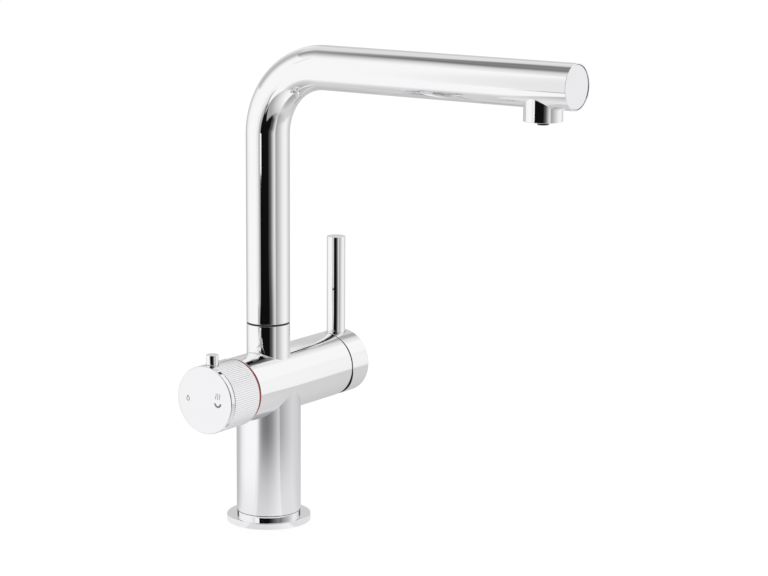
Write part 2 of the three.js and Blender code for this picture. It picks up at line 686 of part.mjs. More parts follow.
function addValve() {
  const sealStart = bonnetStart;
  const fixedStart = sealStart + 1.5;
  const movingStart = fixedStart + valveDiscThickness + CLEARANCE;
  const footStart = movingStart + valveDiscThickness + CLEARANCE;
  const footEnd = footStart + 2.1;
  const tangWidth = 3.8;
  const tangHalfLength = 6;
  const tangDepth = 1.2;
  const cavityR = valveDiscR + CLEARANCE;
  const boreR = spindleR + CLEARANCE;

  // Boiling and filtered water come in at the two outer ports and leave by the middle one. The
  // moving disc's channel points up at rest and joins one inlet to the middle at each end of the turn.
  const port = rod(valvePortR, sealStart - 1, movingStart, FACETS.tiny);
  let seal = rod(valveDiscR, sealStart, fixedStart - CLEARANCE);
  let fixedDisc = rod(valveDiscR, fixedStart, fixedStart + valveDiscThickness);
  for (const place of [-valvePortPitch, 0, valvePortPitch]) {
    seal = seal.subtract(port.translate([0, place, 0]));
    fixedDisc = fixedDisc.subtract(port.translate([0, place, 0]));
  }
  piece(valve, "valve_seat_seal", blackRubber, seal);
  piece(valve, "valve_fixed_disc", ceramic, fixedDisc);
  const movingEnd = movingStart + valveDiscThickness;
  const channel = block(
    [-valvePortR, -valvePortR, movingStart - 1],
    [valvePortPitch + valvePortR, valvePortR, movingStart + valveDiscThickness / 3],
  );
  const tangSlot = block(
    [-tangWidth / 2 - CLEARANCE, -valveDiscR, movingEnd - tangDepth - CLEARANCE],
    [tangWidth / 2 + CLEARANCE, valveDiscR, footStart + 1],
  );
  const movingDisc = rod(valveDiscR - CLEARANCE, movingStart, movingEnd)
    .subtract(tangSlot)
    .subtract(channel);
  piece(valve, "valve_moving_disc", ceramic, movingDisc);

  const sealWireR = 0.8;
  const sealAt = bodyLeft - 1;
  const sealGrooveR = spindleR + 2 * sealWireR + CLEARANCE;
  const sealGrooveHalf = sealWireR + CLEARANCE;
  const bonnet = rod(bonnetR, bonnetStart, stopRingStart)
    .add(rod(bonnetHexR, stopRingStart, bodyLeft, 6))
    .add(rod(bonnetNeckR, stopRingStart, bonnetNeckEnd))
    .subtract(rod(cavityR, bonnetStart - 1, footEnd + CLEARANCE))
    .subtract(rod(boreR, bonnetStart, bonnetNeckEnd + 1))
    .subtract(ring(boreR - 1, sealGrooveR, sealAt - sealGrooveHalf, sealAt + sealGrooveHalf));
  piece(valve, "valve_bonnet", brass, bonnet);
  const spindleSeal = oRing(spindleR + sealWireR + CLEARANCE / 2, sealWireR, sealAt);
  piece(valve, "spindle_o_ring", blackRubber, spindleSeal);

  const circlipStart = bonnetNeckEnd + CLEARANCE;
  const circlipThickness = 1;
  const circlipGrooveR = spindleR - 0.8;
  const circlipSlotHalf = 1.5;
  const spindleEnd = hubEnd - hubWeb - CLEARANCE;
  const spindleNeck = circlipStart + circlipThickness + 1.2;
  const knobScrewR = 1.9;
  const knobScrewEnd = circlipStart + circlipThickness + 2;
  const spindle = rod(spindleR, footStart, spindleEnd)
    .add(rod(valveDiscR - CLEARANCE, footStart, footEnd))
    .add(
      block(
        [-tangWidth / 2, -tangHalfLength, footStart - tangDepth],
        [tangWidth / 2, tangHalfLength, footStart + 1],
      ),
    )
    .subtract(
      ring(circlipGrooveR, spindleR + 1, circlipStart - 0.1, circlipStart + circlipThickness + 0.2),
    )
    .subtract(besideFlats(spindleFlat, spindleNeck, spindleEnd + 1))
    .subtract(rod(knobScrewR + CLEARANCE, knobScrewEnd - CLEARANCE, spindleEnd + 1, FACETS.tiny));
  piece(valve, "valve_spindle", brass, spindle);
  const circlip = ring(
    circlipGrooveR + 0.2,
    spindleR + 2,
    circlipStart,
    circlipStart + circlipThickness,
  ).subtract(
    block([0, -circlipSlotHalf, circlipStart - 1], [knobR, circlipSlotHalf, circlipStart + 2]),
  );
  piece(valve, "spindle_circlip", steel, circlip);

  // The stop ring is clipped in the body. Its lug stops the hub's lug, so the knob turns half a turn.
  const lugInnerR = stopRingR - 4;
  const hubLugHalfWidth = 1.4;
  const hubLugHalfAngle = THREE.MathUtils.radToDeg(Math.asin(hubLugHalfWidth / lugInnerR));
  const lugFrom = knobTurn + hubLugHalfAngle + stopPlay;
  const lugOuterR = stopRingR - 2 * CLEARANCE;
  const lugEnd = stopRingEnd + stopLugLength;
  const stopRing = ring(
    bonnetHexR + 2 * CLEARANCE,
    stopRingR,
    stopRingStart,
    stopRingEnd,
    FACETS.medium,
  ).add(ringSector(lugInnerR, lugOuterR, stopRingEnd - 1, lugEnd, lugFrom, 360 - lugFrom));
  piece(valve, "stop_ring", whitePlastic, stopRing);
  const redRingEnd = redRingStart + redRingThickness;
  const redRing = ring(stopRingR + CLEARANCE, bodyR, redRingStart, redRingEnd, FACETS.large);
  piece(valve, "red_ring", redPlastic, redRing);

  addKnob({ spindleNeck, spindleEnd, knobScrewR, knobScrewEnd, lugInnerR, lugOuterR, hubLugHalfWidth });
}

// What two flats take off a round bar, each at a distance from its axis.
function besideFlats(distance, from, to) {
  const far = 2 * spindleR;
  const side = block([distance, -far, from], [far, far, to]);
  return side.add(side.rotate([0, 0, 180]));
}

// ---- Knob, in the valve's frame ----

function ribbedOutline() {
  const outline = new THREE.Shape();
  for (let i = 0; i < 2 * knobRibs; i++) {
    const angle = (Math.PI * (i + 0.5)) / knobRibs;
    const r = i % 2 ? knobR - knobRibDepth : knobR;
    const point = [r * Math.cos(angle), r * Math.sin(angle)];
    if (i === 0) outline.moveTo(...point);
    else outline.lineTo(...point);
  }
  return outline;
}

function addKnob({
  spindleNeck,
  spindleEnd,
  knobScrewR,
  knobScrewEnd,
  lugInnerR,
  lugOuterR,
  hubLugHalfWidth,
}) {
  const buttonSlotHalf = buttonR + CLEARANCE;
  // The button's slot is open towards the rim, which closes it.
  const buttonSlot = alongX(rod(buttonSlotHalf, 0, knobR + 1))
    .translate([0, 0, buttonAxis])
    .add(block([0, -buttonSlotHalf, buttonAxis], [knobR + 1, buttonSlotHalf, knobCapStart]));

  const sleeve = prism(ribbedOutline(), sleeveStart, sleeveEnd, 1)
    .subtract(rod(knobBoreR, sleeveStart - 1, sleeveEnd + 1, FACETS.medium))
    .subtract(buttonSlot);
  piece(valve, "knob_sleeve", chrome, sleeve);

  const skirtWall = 2.1;
  const skirtR = knobBoreR - CLEARANCE;
  const skirtStart = hubEnd + 6;
  const plateBack = knobFace - knobCapWall;
  const shelfTop = 8;
  const shelfThickness = 3;
  const shelfHalf = 5;
  const cap = turned(
    [
      [0, plateBack],
      [skirtR - skirtWall, plateBack],
      [skirtR - skirtWall, skirtStart],
      [skirtR, skirtStart],
      [skirtR, knobCapStart],
      [knobR, knobCapStart],
      [knobR, knobFace - EDGE],
      [knobR - EDGE, knobFace],
      [0, knobFace],
    ],
    FACETS.large,
  )
    .subtract(buttonSlot)
    .add(
      block(
        [shelfTop - shelfThickness, -shelfHalf, buttonAxis - shelfHalf],
        [shelfTop, shelfHalf, plateBack + 0.5],
      ),
    );
  piece(valve, "knob_cap", chrome, cap);

  const hubBossR = spindleR + 4.5;
  const hubBossStart = spindleNeck + CLEARANCE;
  const spindleHole = rod(spindleR + CLEARANCE, hubBossStart - 1, hubEnd - hubWeb).subtract(
    besideFlats(spindleFlat + CLEARANCE, hubBossStart - 2, hubEnd),
  );
  const hub = rod(hubBossR, hubBossStart, hubEnd)
    .add(rod(knobBoreR - CLEARANCE, hubDiscStart, hubEnd, FACETS.medium))
    .add(
      block(
        [lugInnerR, -hubLugHalfWidth, stopRingEnd + 2],
        [lugOuterR, hubLugHalfWidth, hubDiscStart + 1],
      ),
    )
    .subtract(spindleHole)
    .subtract(rod(knobScrewR + CLEARANCE, spindleEnd, hubEnd + 1, FACETS.tiny));
  piece(valve, "knob_hub", greyPlastic, hub);
  const screwHead = hubEnd + CLEARANCE;
  const screw = rod(knobScrewR, knobScrewEnd, screwHead + 1, FACETS.tiny).add(
    rod(2 * knobScrewR, screwHead, screwHead + 2.2, FACETS.tiny),
  );
  piece(valve, "knob_screw", steel, screw);

  const collarTop = Math.sqrt((skirtR - skirtWall) ** 2 - buttonCollarR ** 2) - CLEARANCE;
  const collarFoot = collarTop - buttonCollarThickness;
  const buttonTop = knobR + buttonStandOut;
  const button = chamferedRod(buttonR, collarTop - 1, buttonTop, EDGE, FACETS.small).add(
    rod(buttonCollarR, collarFoot, collarTop),
  );
  piece(valve, "safety_button", chrome, alongX(button).translate([0, 0, buttonAxis]));

  const springGap = 0.1; // to the shelf and to the collar
  const coil = { start: shelfTop + springGap, end: collarFoot - springGap, r: 3.4, wireR: 0.4, turns: 4 };
  piece(valve, "button_spring", steel, spring(coil));
}

// A coil spring that stands under the button, in the valve's frame.
function spring({ start, end, r, wireR, turns }) {
  class Coil extends THREE.Curve {
    getPoint(t) {
      const angle = 2 * Math.PI * turns * t;
      const height = start + wireR + (end - start - 2 * wireR) * t;
      return new THREE.Vector3(height, r * Math.cos(angle), buttonAxis + r * Math.sin(angle));
    }
  }
  const path = new Coil();
  const wire = new THREE.Shape();
  wire.absarc(0, 0, wireR, 0, 2 * Math.PI, false);
  const options = { extrudePath: path, steps: turns * 8, curveSegments: 3 };
  return toSolid(new THREE.ExtrudeGeometry(wire, options));
}

// ---- Mixer cartridge, in its own frame ----

const mixerSealEnd = pocketFloor + 1.5;
const cartridgeBaseEnd = mixerSealEnd + 4.5;
const housingStart = cartridgeBaseEnd + CLEARANCE;
const fixedDiscEnd = housingStart + mixerDiscThickness;
const movingDiscStart = fixedDiscEnd + CLEARANCE;
const carrierStart = movingDiscStart + mixerDiscThickness + CLEARANCE;
const carrierEnd = carrierStart + 5.6;
const rotorStart = carrierEnd + CLEARANCE;
const pivot = carrierEnd + 8.5;
const nutStart = bodyRight - nutRecessDepth + CLEARANCE;
const nutEnd = bodyRight - 5.5;
const toeSize = { across: 5.6, wide: 6, reach: 12 };

function addMixer() {
  const housingEnd = nutStart - CLEARANCE;
  const neckR = housingBoreR - 2.9;

  // Hot and cold water come in at two ports and leave mixed by the third. The moving disc's chamber
  // covers the third port alone when the lever is down, and reaches the other two when it tilts.
  const port = rod(waterwayR, pocketFloor, fixedDiscEnd + 1, FACETS.tiny);
  let seal = rod(cartridgeR - 1, pocketFloor + CLEARANCE, mixerSealEnd);
  let base = rod(cartridgeR, mixerSealEnd + CLEARANCE, cartridgeBaseEnd, FACETS.medium);
  let fixedDisc = rod(housingBoreR - CLEARANCE, housingStart, fixedDiscEnd);
  for (const [x, y] of mixerPorts) {
    seal = seal.subtract(port.translate([x, y, 0]));
    base = base.subtract(port.translate([x, y, 0]));
    fixedDisc = fixedDisc.subtract(port.translate([x, y, 0]));
  }
  piece(mixer, "cartridge_seal", blackRubber, seal);
  piece(mixer, "cartridge_base", greyPlastic, base);
  piece(mixer, "cartridge_fixed_disc", ceramic, fixedDisc);

  const chamberDepth = mixerDiscThickness / 2;
  const chamber = rod(mixerChamberR, movingDiscStart - 1, movingDiscStart + chamberDepth, FACETS.pipe);
  const movingDisc = rod(mixerDiscR, movingDiscStart, movingDiscStart + mixerDiscThickness).subtract(
    chamber.translate([mixerPorts[2][0] / 2, 0, 0]),
  );
  piece(mixer, "cartridge_moving_disc", ceramic, movingDisc);

  const toePlay = 0.7; // for the swing of the toe in the carrier
  const slot = { across: toeSize.across / 2 + toePlay, wide: toeSize.wide / 2 + CLEARANCE };
  const toeSlot = block(
    [-slot.across, -slot.wide, carrierStart + 1.4],
    [slot.across, slot.wide, carrierEnd + 1],
  );
  const carrier = rod(mixerDiscR, carrierStart, carrierEnd).subtract(toeSlot);
  piece(mixer, "disc_carrier", whitePlastic, carrier);

  const lipStart = housingEnd - 4.3;
  const housing = turned(
    [
      [housingBoreR, housingStart],
      [cartridgeR, housingStart],
      [cartridgeR, housingEnd],
      [neckR + CLEARANCE, housingEnd],
      [neckR + CLEARANCE, lipStart],
      [housingBoreR, lipStart],
    ],
    FACETS.medium,
  );
  piece(mixer, "cartridge_housing", greyPlastic, housing);

  const rotorTop = lipStart - CLEARANCE;
  const rotorEnd = housingEnd + 1.8;
  const stemSlot = block(
    [-stemSize / 2 - 5, -stemSize / 2 - CLEARANCE, rotorStart - 1],
    [stemSize / 2 + 5, stemSize / 2 + CLEARANCE, rotorEnd + 1],
  );
  const pinHole = alongY(rod(stemPinR + CLEARANCE, -cartridgeR, cartridgeR, FACETS.tiny));
  const rotor = rod(housingBoreR - CLEARANCE, rotorStart, rotorTop)
    .add(rod(neckR, rotorStart, rotorEnd))
    .subtract(stemSlot)
    .subtract(pinHole.translate([0, 0, pivot]));
  piece(mixer, "stem_rotor", whitePlastic, rotor);
  const pinHalf = housingBoreR - 1.2;
  const stemPin = alongY(rod(stemPinR, -pinHalf, pinHalf, FACETS.tiny));
  piece(mixer, "stem_pin", steel, stemPin.translate([0, 0, pivot]));

  const notches = 4; // for the spanner
  const notch = block([-2, nutThreadR - 2.5, nutEnd - 2], [2, nutThreadR + 2, nutEnd + 1]);
  let nut = ring(neckR + 2 * CLEARANCE, nutThreadR, nutStart, nutEnd, FACETS.medium);
  for (let i = 0; i < notches; i++) nut = nut.subtract(notch.rotate([0, 0, (360 * i) / notches]));
  piece(mixer, "cartridge_nut", brass, nut);

  addLever(pinHole);
}

// ---- Lever, in the mixer's frame ----

function addLever(pinHole) {
  const half = stemSize / 2;
  const endWall = leverCapWall + 0.2;
  const bossEnd = leverCapEnd - endWall;
  const stemEnd = bossEnd - 2;
  const toe = block(
    [-toeSize.across / 2, -toeSize.wide / 2, pivot - toeSize.reach],
    [toeSize.across / 2, toeSize.wide / 2, pivot - 6],
  );
  const stem = block([-half, -half, pivot - 6.5], [half, half, stemEnd])
    .add(toe)
    .subtract(pinHole.translate([0, 0, pivot]));
  piece(mixer, "lever_stem", steel, stem);

  const cavityR = bodyR - leverCapWall;
  const bossStart = leverCapStart + 3;
  const bossR = half + 4.5;
  const rodSeat = 14; // from the axis to the seat of the rod
  const rodFootGap = 1.5; // between the stem and the foot of the rod
  const reliefPlay = 0.5; // degrees that the cut gives beyond the tilt
  const rodBoreR = leverRodR + CLEARANCE;
  const spigotBoreR = leverRodR / 2 + CLEARANCE;
  const screwR = 1.6;
  const place = [0, 0, leverRodX];
  const up = (solid) => alongMinusX(solid).translate(place);
  const down = (solid) => alongX(solid).translate(place);

  const shell = turned(
    [
      [0, bossEnd],
      [cavityR, bossEnd],
      [cavityR, leverCapStart],
      [bodyR - EDGE / 2, leverCapStart],
      [bodyR, leverCapStart + EDGE / 2],
      [bodyR, leverCapEnd - EDGE],
      [bodyR - EDGE, leverCapEnd],
      [0, leverCapEnd],
    ],
    FACETS.large,
  );
  const inside = rod(bodyR - 1, leverCapStart, leverCapEnd - 1, FACETS.medium);
  const rodBoss = up(rod(rodBoreR + 2, 0, bodyR)).intersect(inside);
  const screwBoss = down(rod(screwR + 3, 0, bodyR, FACETS.pipe)).intersect(inside);
  // Below its axis the cap is cut back, so that it clears the body when it tilts.
  const reliefHeight = bodyR + 2;
  const reliefDepth = reliefHeight * Math.tan(degrees(leverTilt + reliefPlay));
  const relief = new THREE.Shape([
    new THREE.Vector2(0, leverCapStart - 1),
    new THREE.Vector2(reliefHeight, leverCapStart - 1),
    new THREE.Vector2(reliefHeight, leverCapStart + reliefDepth),
    new THREE.Vector2(0, leverCapStart),
  ]);
  const reliefCut = prism(relief, -bodyR - 1, bodyR + 1, 1).rotate([90, 0, 0]);
  const socketHalf = half + CLEARANCE;
  const stemSocket = block([-socketHalf, -socketHalf, 0], [socketHalf, socketHalf, stemEnd + CLEARANCE]);
  const cap = shell
    .add(rod(bossR, bossStart, bossEnd + 1))
    .add(rodBoss)
    .add(screwBoss)
    .subtract(stemSocket)
    .subtract(up(rod(rodBoreR, rodSeat, bodyR + 1, FACETS.medium)))
    .subtract(up(rod(spigotBoreR, half, rodSeat + 1, FACETS.tiny)))
    .subtract(down(rod(screwR + CLEARANCE, half, bodyR + 1, FACETS.tiny)))
    .subtract(reliefCut);
  piece(mixer, "lever_cap", chrome, cap);

  const lever = chamferedRod(leverRodR, rodSeat + CLEARANCE, leverRise, EDGE, FACETS.medium).add(
    rod(leverRodR / 2, half + rodFootGap, rodSeat + 1, FACETS.tiny),
  );
  piece(mixer, "lever_rod", chrome, up(lever));
  const screw = down(rod(screwR, half + CLEARANCE, half + 7, FACETS.tiny));
  piece(mixer, "lever_grub_screw", steel, screw);
}

addFoot();
addBody();
addSwivel();
addSpout();
addValve();
addMixer();

export default tap;
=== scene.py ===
"""Boiling water tap: the looks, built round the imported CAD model.

Lengths are in millimetres, in the CAD's own frame, and become metres in make().
"""

import math

import bmesh
import bpy
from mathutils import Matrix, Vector


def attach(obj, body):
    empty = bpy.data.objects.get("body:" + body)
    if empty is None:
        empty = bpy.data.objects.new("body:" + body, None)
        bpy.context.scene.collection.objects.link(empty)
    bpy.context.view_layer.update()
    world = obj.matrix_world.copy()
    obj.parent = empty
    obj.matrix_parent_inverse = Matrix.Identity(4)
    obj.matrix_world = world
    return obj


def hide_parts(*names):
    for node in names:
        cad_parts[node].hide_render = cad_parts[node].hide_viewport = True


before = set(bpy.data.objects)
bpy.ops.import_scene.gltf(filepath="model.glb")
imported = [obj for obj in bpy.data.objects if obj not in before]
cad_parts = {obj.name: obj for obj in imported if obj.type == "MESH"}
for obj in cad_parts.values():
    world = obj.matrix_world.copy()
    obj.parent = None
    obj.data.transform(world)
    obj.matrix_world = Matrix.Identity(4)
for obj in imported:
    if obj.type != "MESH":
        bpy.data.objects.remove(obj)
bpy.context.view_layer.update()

MM = 0.001
TAU = 2 * math.pi
SHARP = math.radians(28)  # an edge that turns more than this isn't shaded smooth

# ---- Sizes, as in the CAD but for the three that say so ----

BAR_Z = 105.0  # height of the cross body's axis
BAR_R, BAR_LEFT = 24.25, -40.0
BAR_RIGHT = 72.2  # 0.3 short of the CAD's, for a wider seam at the lever cap
COLUMN_R, COLUMN_BORE_R, COLUMN_FOOT_Z = 23.8, 20.5, 8.3
STUB_R, STUB_BORE_R, STUB_TOP_Z, STUB_FLOOR_Z, STUB_FILLET = 16.0, 13.2, 149.3, 122.0, 0.2
GRUB_HOLE_Z, GRUB_HOLE_R = 136.65, 2.5
TUBE_R, TUBE_BORE_R, TUBE_FOOT_Z = 16.0, 14.5, 150.6
SPOUT_Z, SPOUT_END = 340.0, -258.0
BEND_R = 51.5  # 48 in the CAD
CAP_RECESS = 0.5  # of the spout's end cap, which is flush with the tube's rim in the CAD
OUTLET_Y, OUTLET_R, OUTLET_BORE_R, OUTLET_FACE_Z, OUTLET_FILLET = -232.0, 13.4, 11.5, 315.5, 0.5
KNOB_R, KNOB_BORE_R, KNOB_RIBS, RIB_DEPTH = 24.75, 21.0, 96, 0.45
SLEEVE_START, SLEEVE_END = -41.9, -70.5
CAP_START, KNOB_FACE, FACE_GROOVE = -70.8, -74.8, 0.03
BUTTON_X, BUTTON_R, BUTTON_TOP_Z, BUTTON_SLOT = -65.6, 4.45, 137.0, 4.75
LEVER_START, LEVER_END, LEVER_BORE_R = 73.3, 93.8, 21.25
LEVER_SLOPE = math.tan(math.radians(12.5))  # of the cut that lets the lever cap tilt
ROD_X, ROD_R, ROD_TOP_Z, ROD_FOOT_Z = 84.5, 7.0, 202.4, 119.3

# ---- The photograph's camera ----

CAMERA_AT = (-1383.7, -1066.5, 513.9)
YAW, PITCH, ROLL = math.radians(34.84), math.radians(10.969), math.radians(0.365)
FOCAL_LENGTH, SENSOR_WIDTH = 113.70, 36.0
# Towards the camera, and to its right, in plan.
TOWARDS = Vector((-math.cos(YAW), -math.sin(YAW), 0))
RIGHT = Vector((math.sin(YAW), -math.cos(YAW), 0))


# ---- Meshes ----


def weight(obj):
    """Keeps large faces even beside their small chamfers."""
    modifier = obj.modifiers.new("Normals", "WEIGHTED_NORMAL")
    modifier.keep_sharp = True
    modifier.weight = 100


def shade(mesh):
    mesh.shade_smooth()
    mesh.set_sharp_from_angle(angle=SHARP)


def make(name, points, faces, weighted=True):
    """A mesh object from points in millimetres, smooth but for its sharp edges."""
    mesh = bpy.data.meshes.new(name)
    mesh.from_pydata([(x * MM, y * MM, z * MM) for x, y, z in points], [], faces)
    mesh.validate()
    shade(mesh)
    obj = bpy.data.objects.new(name, mesh)
    bpy.context.scene.collection.objects.link(obj)
    if weighted:
        weight(obj)
    return obj


def solid(name, points, faces, weighted=True):
    """A closed mesh whose faces look outwards."""
    obj = make(name, points, faces, weighted)
    work = bmesh.new()
    work.from_mesh(obj.data)
    bmesh.ops.recalc_face_normals(work, faces=work.faces)
    work.to_mesh(obj.data)
    work.free()
    return obj


def skin(name, rings):
    """A solid through rings of equal counts.

    The rings start and end with a ring of one point, or else the last one joins the first.
    """
    points, starts = [], []
    for ring in rings:
        starts.append(len(points))
        points.extend(ring)
    faces = []
    pairs = list(zip(range(len(rings) - 1), range(1, len(rings))))
    if len(rings[0]) > 1:
        pairs.append((len(rings) - 1, 0))
    for a, b in pairs:
        na, nb = len(rings[a]), len(rings[b])
        count = max(na, nb)
        for i in range(count):
            j = (i + 1) % count
            a0, a1 = starts[a] + i % na, starts[a] + j % na
            b0, b1 = starts[b] + i % nb, starts[b] + j % nb
            if na == 1:
                faces.append((a0, b1, b0))
            elif nb == 1:
                faces.append((a0, a1, b0))
            else:
                faces.append((a0, a1, b1, b0))
    return solid(name, points, faces)


def rounded(corners, steps=4):
    """Rounds the corners (r, t, radius) of an outline. A radius of 0 keeps the corner."""
    outline = []
    for i, (r, t, radius) in enumerate(corners):
        if not radius:
            outline.append((r, t))
            continue
        here = Vector((r, t))
        before = Vector(corners[i - 1][:2]) - here
        after = Vector(corners[(i + 1) % len(corners)][:2]) - here
        angle = before.angle(after)
        reach = radius / math.tan(angle / 2)
        start, end = here + before.normalized() * reach, here + after.normalized() * reach
        inwards = (before.normalized() + after.normalized()).normalized()
        middle = here + inwards * (radius / math.sin(angle / 2))
        a, b = start - middle, end - middle
        sweep = a.angle(b)
        for k in range(steps + 1):
            f = k / steps
            arm = (a * math.sin((1 - f) * sweep) + b * math.sin(f * sweep)) / math.sin(sweep)
            point = middle + arm
            outline.append((point.x, point.y))
    return outline


def lip(corners):
    """The rounded corners of an open outline, without its two ends."""
    return rounded(corners)[1:-1]


def circle(count):
    return [(math.cos(TAU * i / count), math.sin(TAU * i / count)) for i in range(count)]


def quarter(steps=6):
    """Sines and cosines from 0 to a right angle."""
    angles = [math.pi / 2 * k / steps for k in range(steps + 1)]
    return [(math.sin(a), math.cos(a)) for a in angles]


def upright(r, count, height, y=0.0):
    """A ring about an upright line, where height(a, b) gives z at (a, b) from that line."""
    return [(r * c, y + r * s, height(r * c, r * s)) for c, s in circle(count)]


def along_x(a, b, t):
    return (t, a, BAR_Z + b)


def along_y(z):
    return lambda a, b, t: (a, t, z + b)


def along_z(x=0.0, y=0.0):
    return lambda a, b, t: (x + a, y + b, t)


def revolve(name, corners, place, count, steps=4):
    """Turns an outline with rounded corners about the axis that place(a, b, t) puts in the world.

    The outline starts and ends on the axis, or else it goes round the section of a ring.
    """
    rings = []
    for r, t in rounded(corners, steps):
        turn = circle(count) if r else [(0, 0)]
        rings.append([place(r * c, r * s, t) for c, s in turn])
    return skin(name, rings)


def drill(r, start, end, place, count=96):
    """A cylinder to cut with."""
    corners = [(0, start, 0), (r, start, 0), (r, end, 0), (0, end, 0)]
    return revolve("drill", corners, place, count)


def prism(shape, low, high):
    """An upright prism to cut with, on an outline (x, y)."""
    count = len(shape)
    points = [(x, y, z) for z in (low, high) for x, y in shape]
    faces = [tuple(range(count)), tuple(range(2 * count - 1, count - 1, -1))]
    faces += [(i, i + count, (i + 1) % count + count, (i + 1) % count) for i in range(count)]
    return solid("prism", points, faces, weighted=False)


def join(name, *objects):
    """One object from several, with their meshes in one."""
    keep = objects[0]
    bpy.ops.object.select_all(action="DESELECT")
    for obj in objects:
        obj.modifiers.clear()
        obj.select_set(True)
    bpy.context.view_layer.objects.active = keep
    bpy.ops.object.join()
    keep.name = name
    keep.data.name = name
    weight(keep)
    return keep


def cut(obj, *cutters):
    """Takes the cutters out of the object, and out of the scene."""
    obj.modifiers.clear()
    for cutter in cutters:
        modifier = obj.modifiers.new("Cut", "BOOLEAN")
        modifier.operation = "DIFFERENCE"
        modifier.solver = "EXACT"
        modifier.object = cutter
        graph = bpy.context.evaluated_depsgraph_get()
        result = bpy.data.meshes.new_from_object(obj.evaluated_get(graph))
        obj.modifiers.remove(modifier)
        old = obj.data
        obj.data = result
        result.name = obj.name
        bpy.data.meshes.remove(old)
        bpy.data.objects.remove(cutter)
    shade(obj.data)
    weight(obj)
    return obj


# ---- Materials ----


def new_material(name):
    made = bpy.data.materials.new(name)
    made.use_nodes = True
    return made, made.node_tree.nodes, made.node_tree.links


def grain(nodes, links, scale, stretch):
    """A noise in the object's own coordinates, so that it moves with the piece."""
    place = nodes.new("ShaderNodeTexCoord")
    mapping = nodes.new("ShaderNodeMapping")
    mapping.inputs["Scale"].default_value = stretch
    noise = nodes.new("ShaderNodeTexNoise")
    noise.inputs["Scale"].default_value = scale
    noise.inputs["Detail"].default_value = 3.0
    links.new(place.outputs["Object"], mapping.inputs["Vector"])
    links.new(mapping.outputs["Vector"], noise.inputs["Vector"])
    return noise.outputs["Fac"]


def spread(nodes, links, source, low, high, start=0.3, end=0.7):
    """Maps the values from start to end to those from low to high."""
    ranged = nodes.new("ShaderNodeMapRange")
    ranged.inputs["From Min"].default_value = start
    ranged.inputs["From Max"].default_value = end
    ranged.inputs["To Min"].default_value = low
    ranged.inputs["To Max"].default_value = high
    links.new(source, ranged.inputs["Value"])
    return ranged.outputs["Result"]


def tint(nodes, links, source, dark, light):
    """Maps a noise to the colours between two."""
    mix = nodes.new("ShaderNodeMix")
    mix.data_type = "RGBA"
    mix.inputs["A"].default_value = (*dark, 1)
    mix.inputs["B"].default_value = (*light, 1)
    links.new(source, mix.inputs["Factor"])
    return mix.outputs["Result"]


def bump(nodes, links, source, strength):
    made = nodes.new("ShaderNodeBump")
    made.inputs["Strength"].default_value = strength
    made.inputs["Distance"].default_value = 0.0001
    links.new(source, made.inputs["Height"])
    return made.outputs["Normal"]


def surface(name, dark, light, rough, metallic, scale, stretch=(1, 1, 1), relief=0.0):
    """A finish whose colour and roughness vary a little, with an optional fine relief."""
    made, nodes, links = new_material(name)
    shader = nodes["Principled BSDF"]
    shader.inputs["Metallic"].default_value = metallic
    noise = grain(nodes, links, scale, stretch)
    links.new(tint(nodes, links, noise, dark, light), shader.inputs["Base Color"])
    links.new(spread(nodes, links, noise, *rough), shader.inputs["Roughness"])
    if relief:
        height = grain(nodes, links, scale * 4, stretch)
        links.new(bump(nodes, links, height, relief), shader.inputs["Normal"])
    return made


def chrome(name, dark, light, rough, scale=60.0):
    return surface(name, dark, light, rough, 1.0, scale)


def metal(name, dark, light, rough, scale, stretch):
    return surface(name, dark, light, rough, 1.0, scale, stretch, 0.15)


def plain(name, dark, light, rough, scale, relief=0.15):
    return surface(name, dark, light, rough, 0.0, scale, relief=relief)


CHROME = chrome("chrome", (0.920, 0.918, 0.932), (0.934, 0.931, 0.943), (0.028, 0.045))
BODY_CHROME = chrome("chrome_column", (0.918, 0.911, 0.938), (0.932, 0.926, 0.950), (0.05, 0.07))
# A darker copy of the chrome: painted shade on the spout's end cap.
SHADED_CAP_CHROME = chrome("chrome_cap_painted_shade", (0.842, 0.845, 0.862), (0.856, 0.858, 0.872), (0.04, 0.06))
# A darker copy of the chrome: painted shade on the knob's cap.
SHADED_KNOB_CHROME = chrome("chrome_knob_painted_shade", (0.886, 0.883, 0.898), (0.900, 0.897, 0.910), (0.028, 0.045))
KNURLED = chrome("chrome_knurled", (0.885, 0.88, 0.90), (0.915, 0.91, 0.93), (0.10, 0.16), 500.0)
BRASS = metal("brass", (0.54, 0.36, 0.13), (0.62, 0.44, 0.18), (0.25, 0.40), 300.0, (1, 1, 6))
COPPER = metal("copper", (0.60, 0.27, 0.14), (0.70, 0.35, 0.20), (0.25, 0.42), 250.0, (6, 6, 1))
STEEL = metal("steel", (0.44, 0.45, 0.47), (0.52, 0.53, 0.55), (0.22, 0.35), 500.0, (1, 1, 5))
RUBBER = plain("rubber", (0.008, 0.008, 0.009), (0.02, 0.02, 0.021), (0.65, 0.85), 900.0, 0.4)
BLACK = plain("black_plastic", (0.01, 0.01, 0.011), (0.018, 0.018, 0.019), (0.30, 0.45), 700.0, 0.2)
RED = plain("red_plastic", (0.27, 0.018, 0.017), (0.34, 0.028, 0.026), (0.28, 0.40), 700.0)
WHITE = plain("white_plastic", (0.76, 0.75, 0.71), (0.83, 0.82, 0.79), (0.38, 0.52), 700.0)
GREY = plain("grey_plastic", (0.24, 0.26, 0.28), (0.31, 0.33, 0.35), (0.38, 0.55), 700.0, 0.2)
CERAMIC = plain("ceramic", (0.64, 0.61, 0.55), (0.74, 0.71, 0.66), (0.15, 0.28), 900.0, 0.1)
SILICONE = plain("silicone", (0.70, 0.68, 0.64), (0.79, 0.77, 0.73), (0.45, 0.60), 500.0)
MARK = plain("mark", (0.17, 0.17, 0.175), (0.23, 0.23, 0.235), (0.40, 0.55), 2000.0, 0.0)
# Near black: painted shade for the faces inside the seams.
SEAM_SHADE = surface("seam_painted_shade", (0.020, 0.020, 0.022), (0.035, 0.034, 0.034), (0.5, 0.7), 0.3, 300.0)

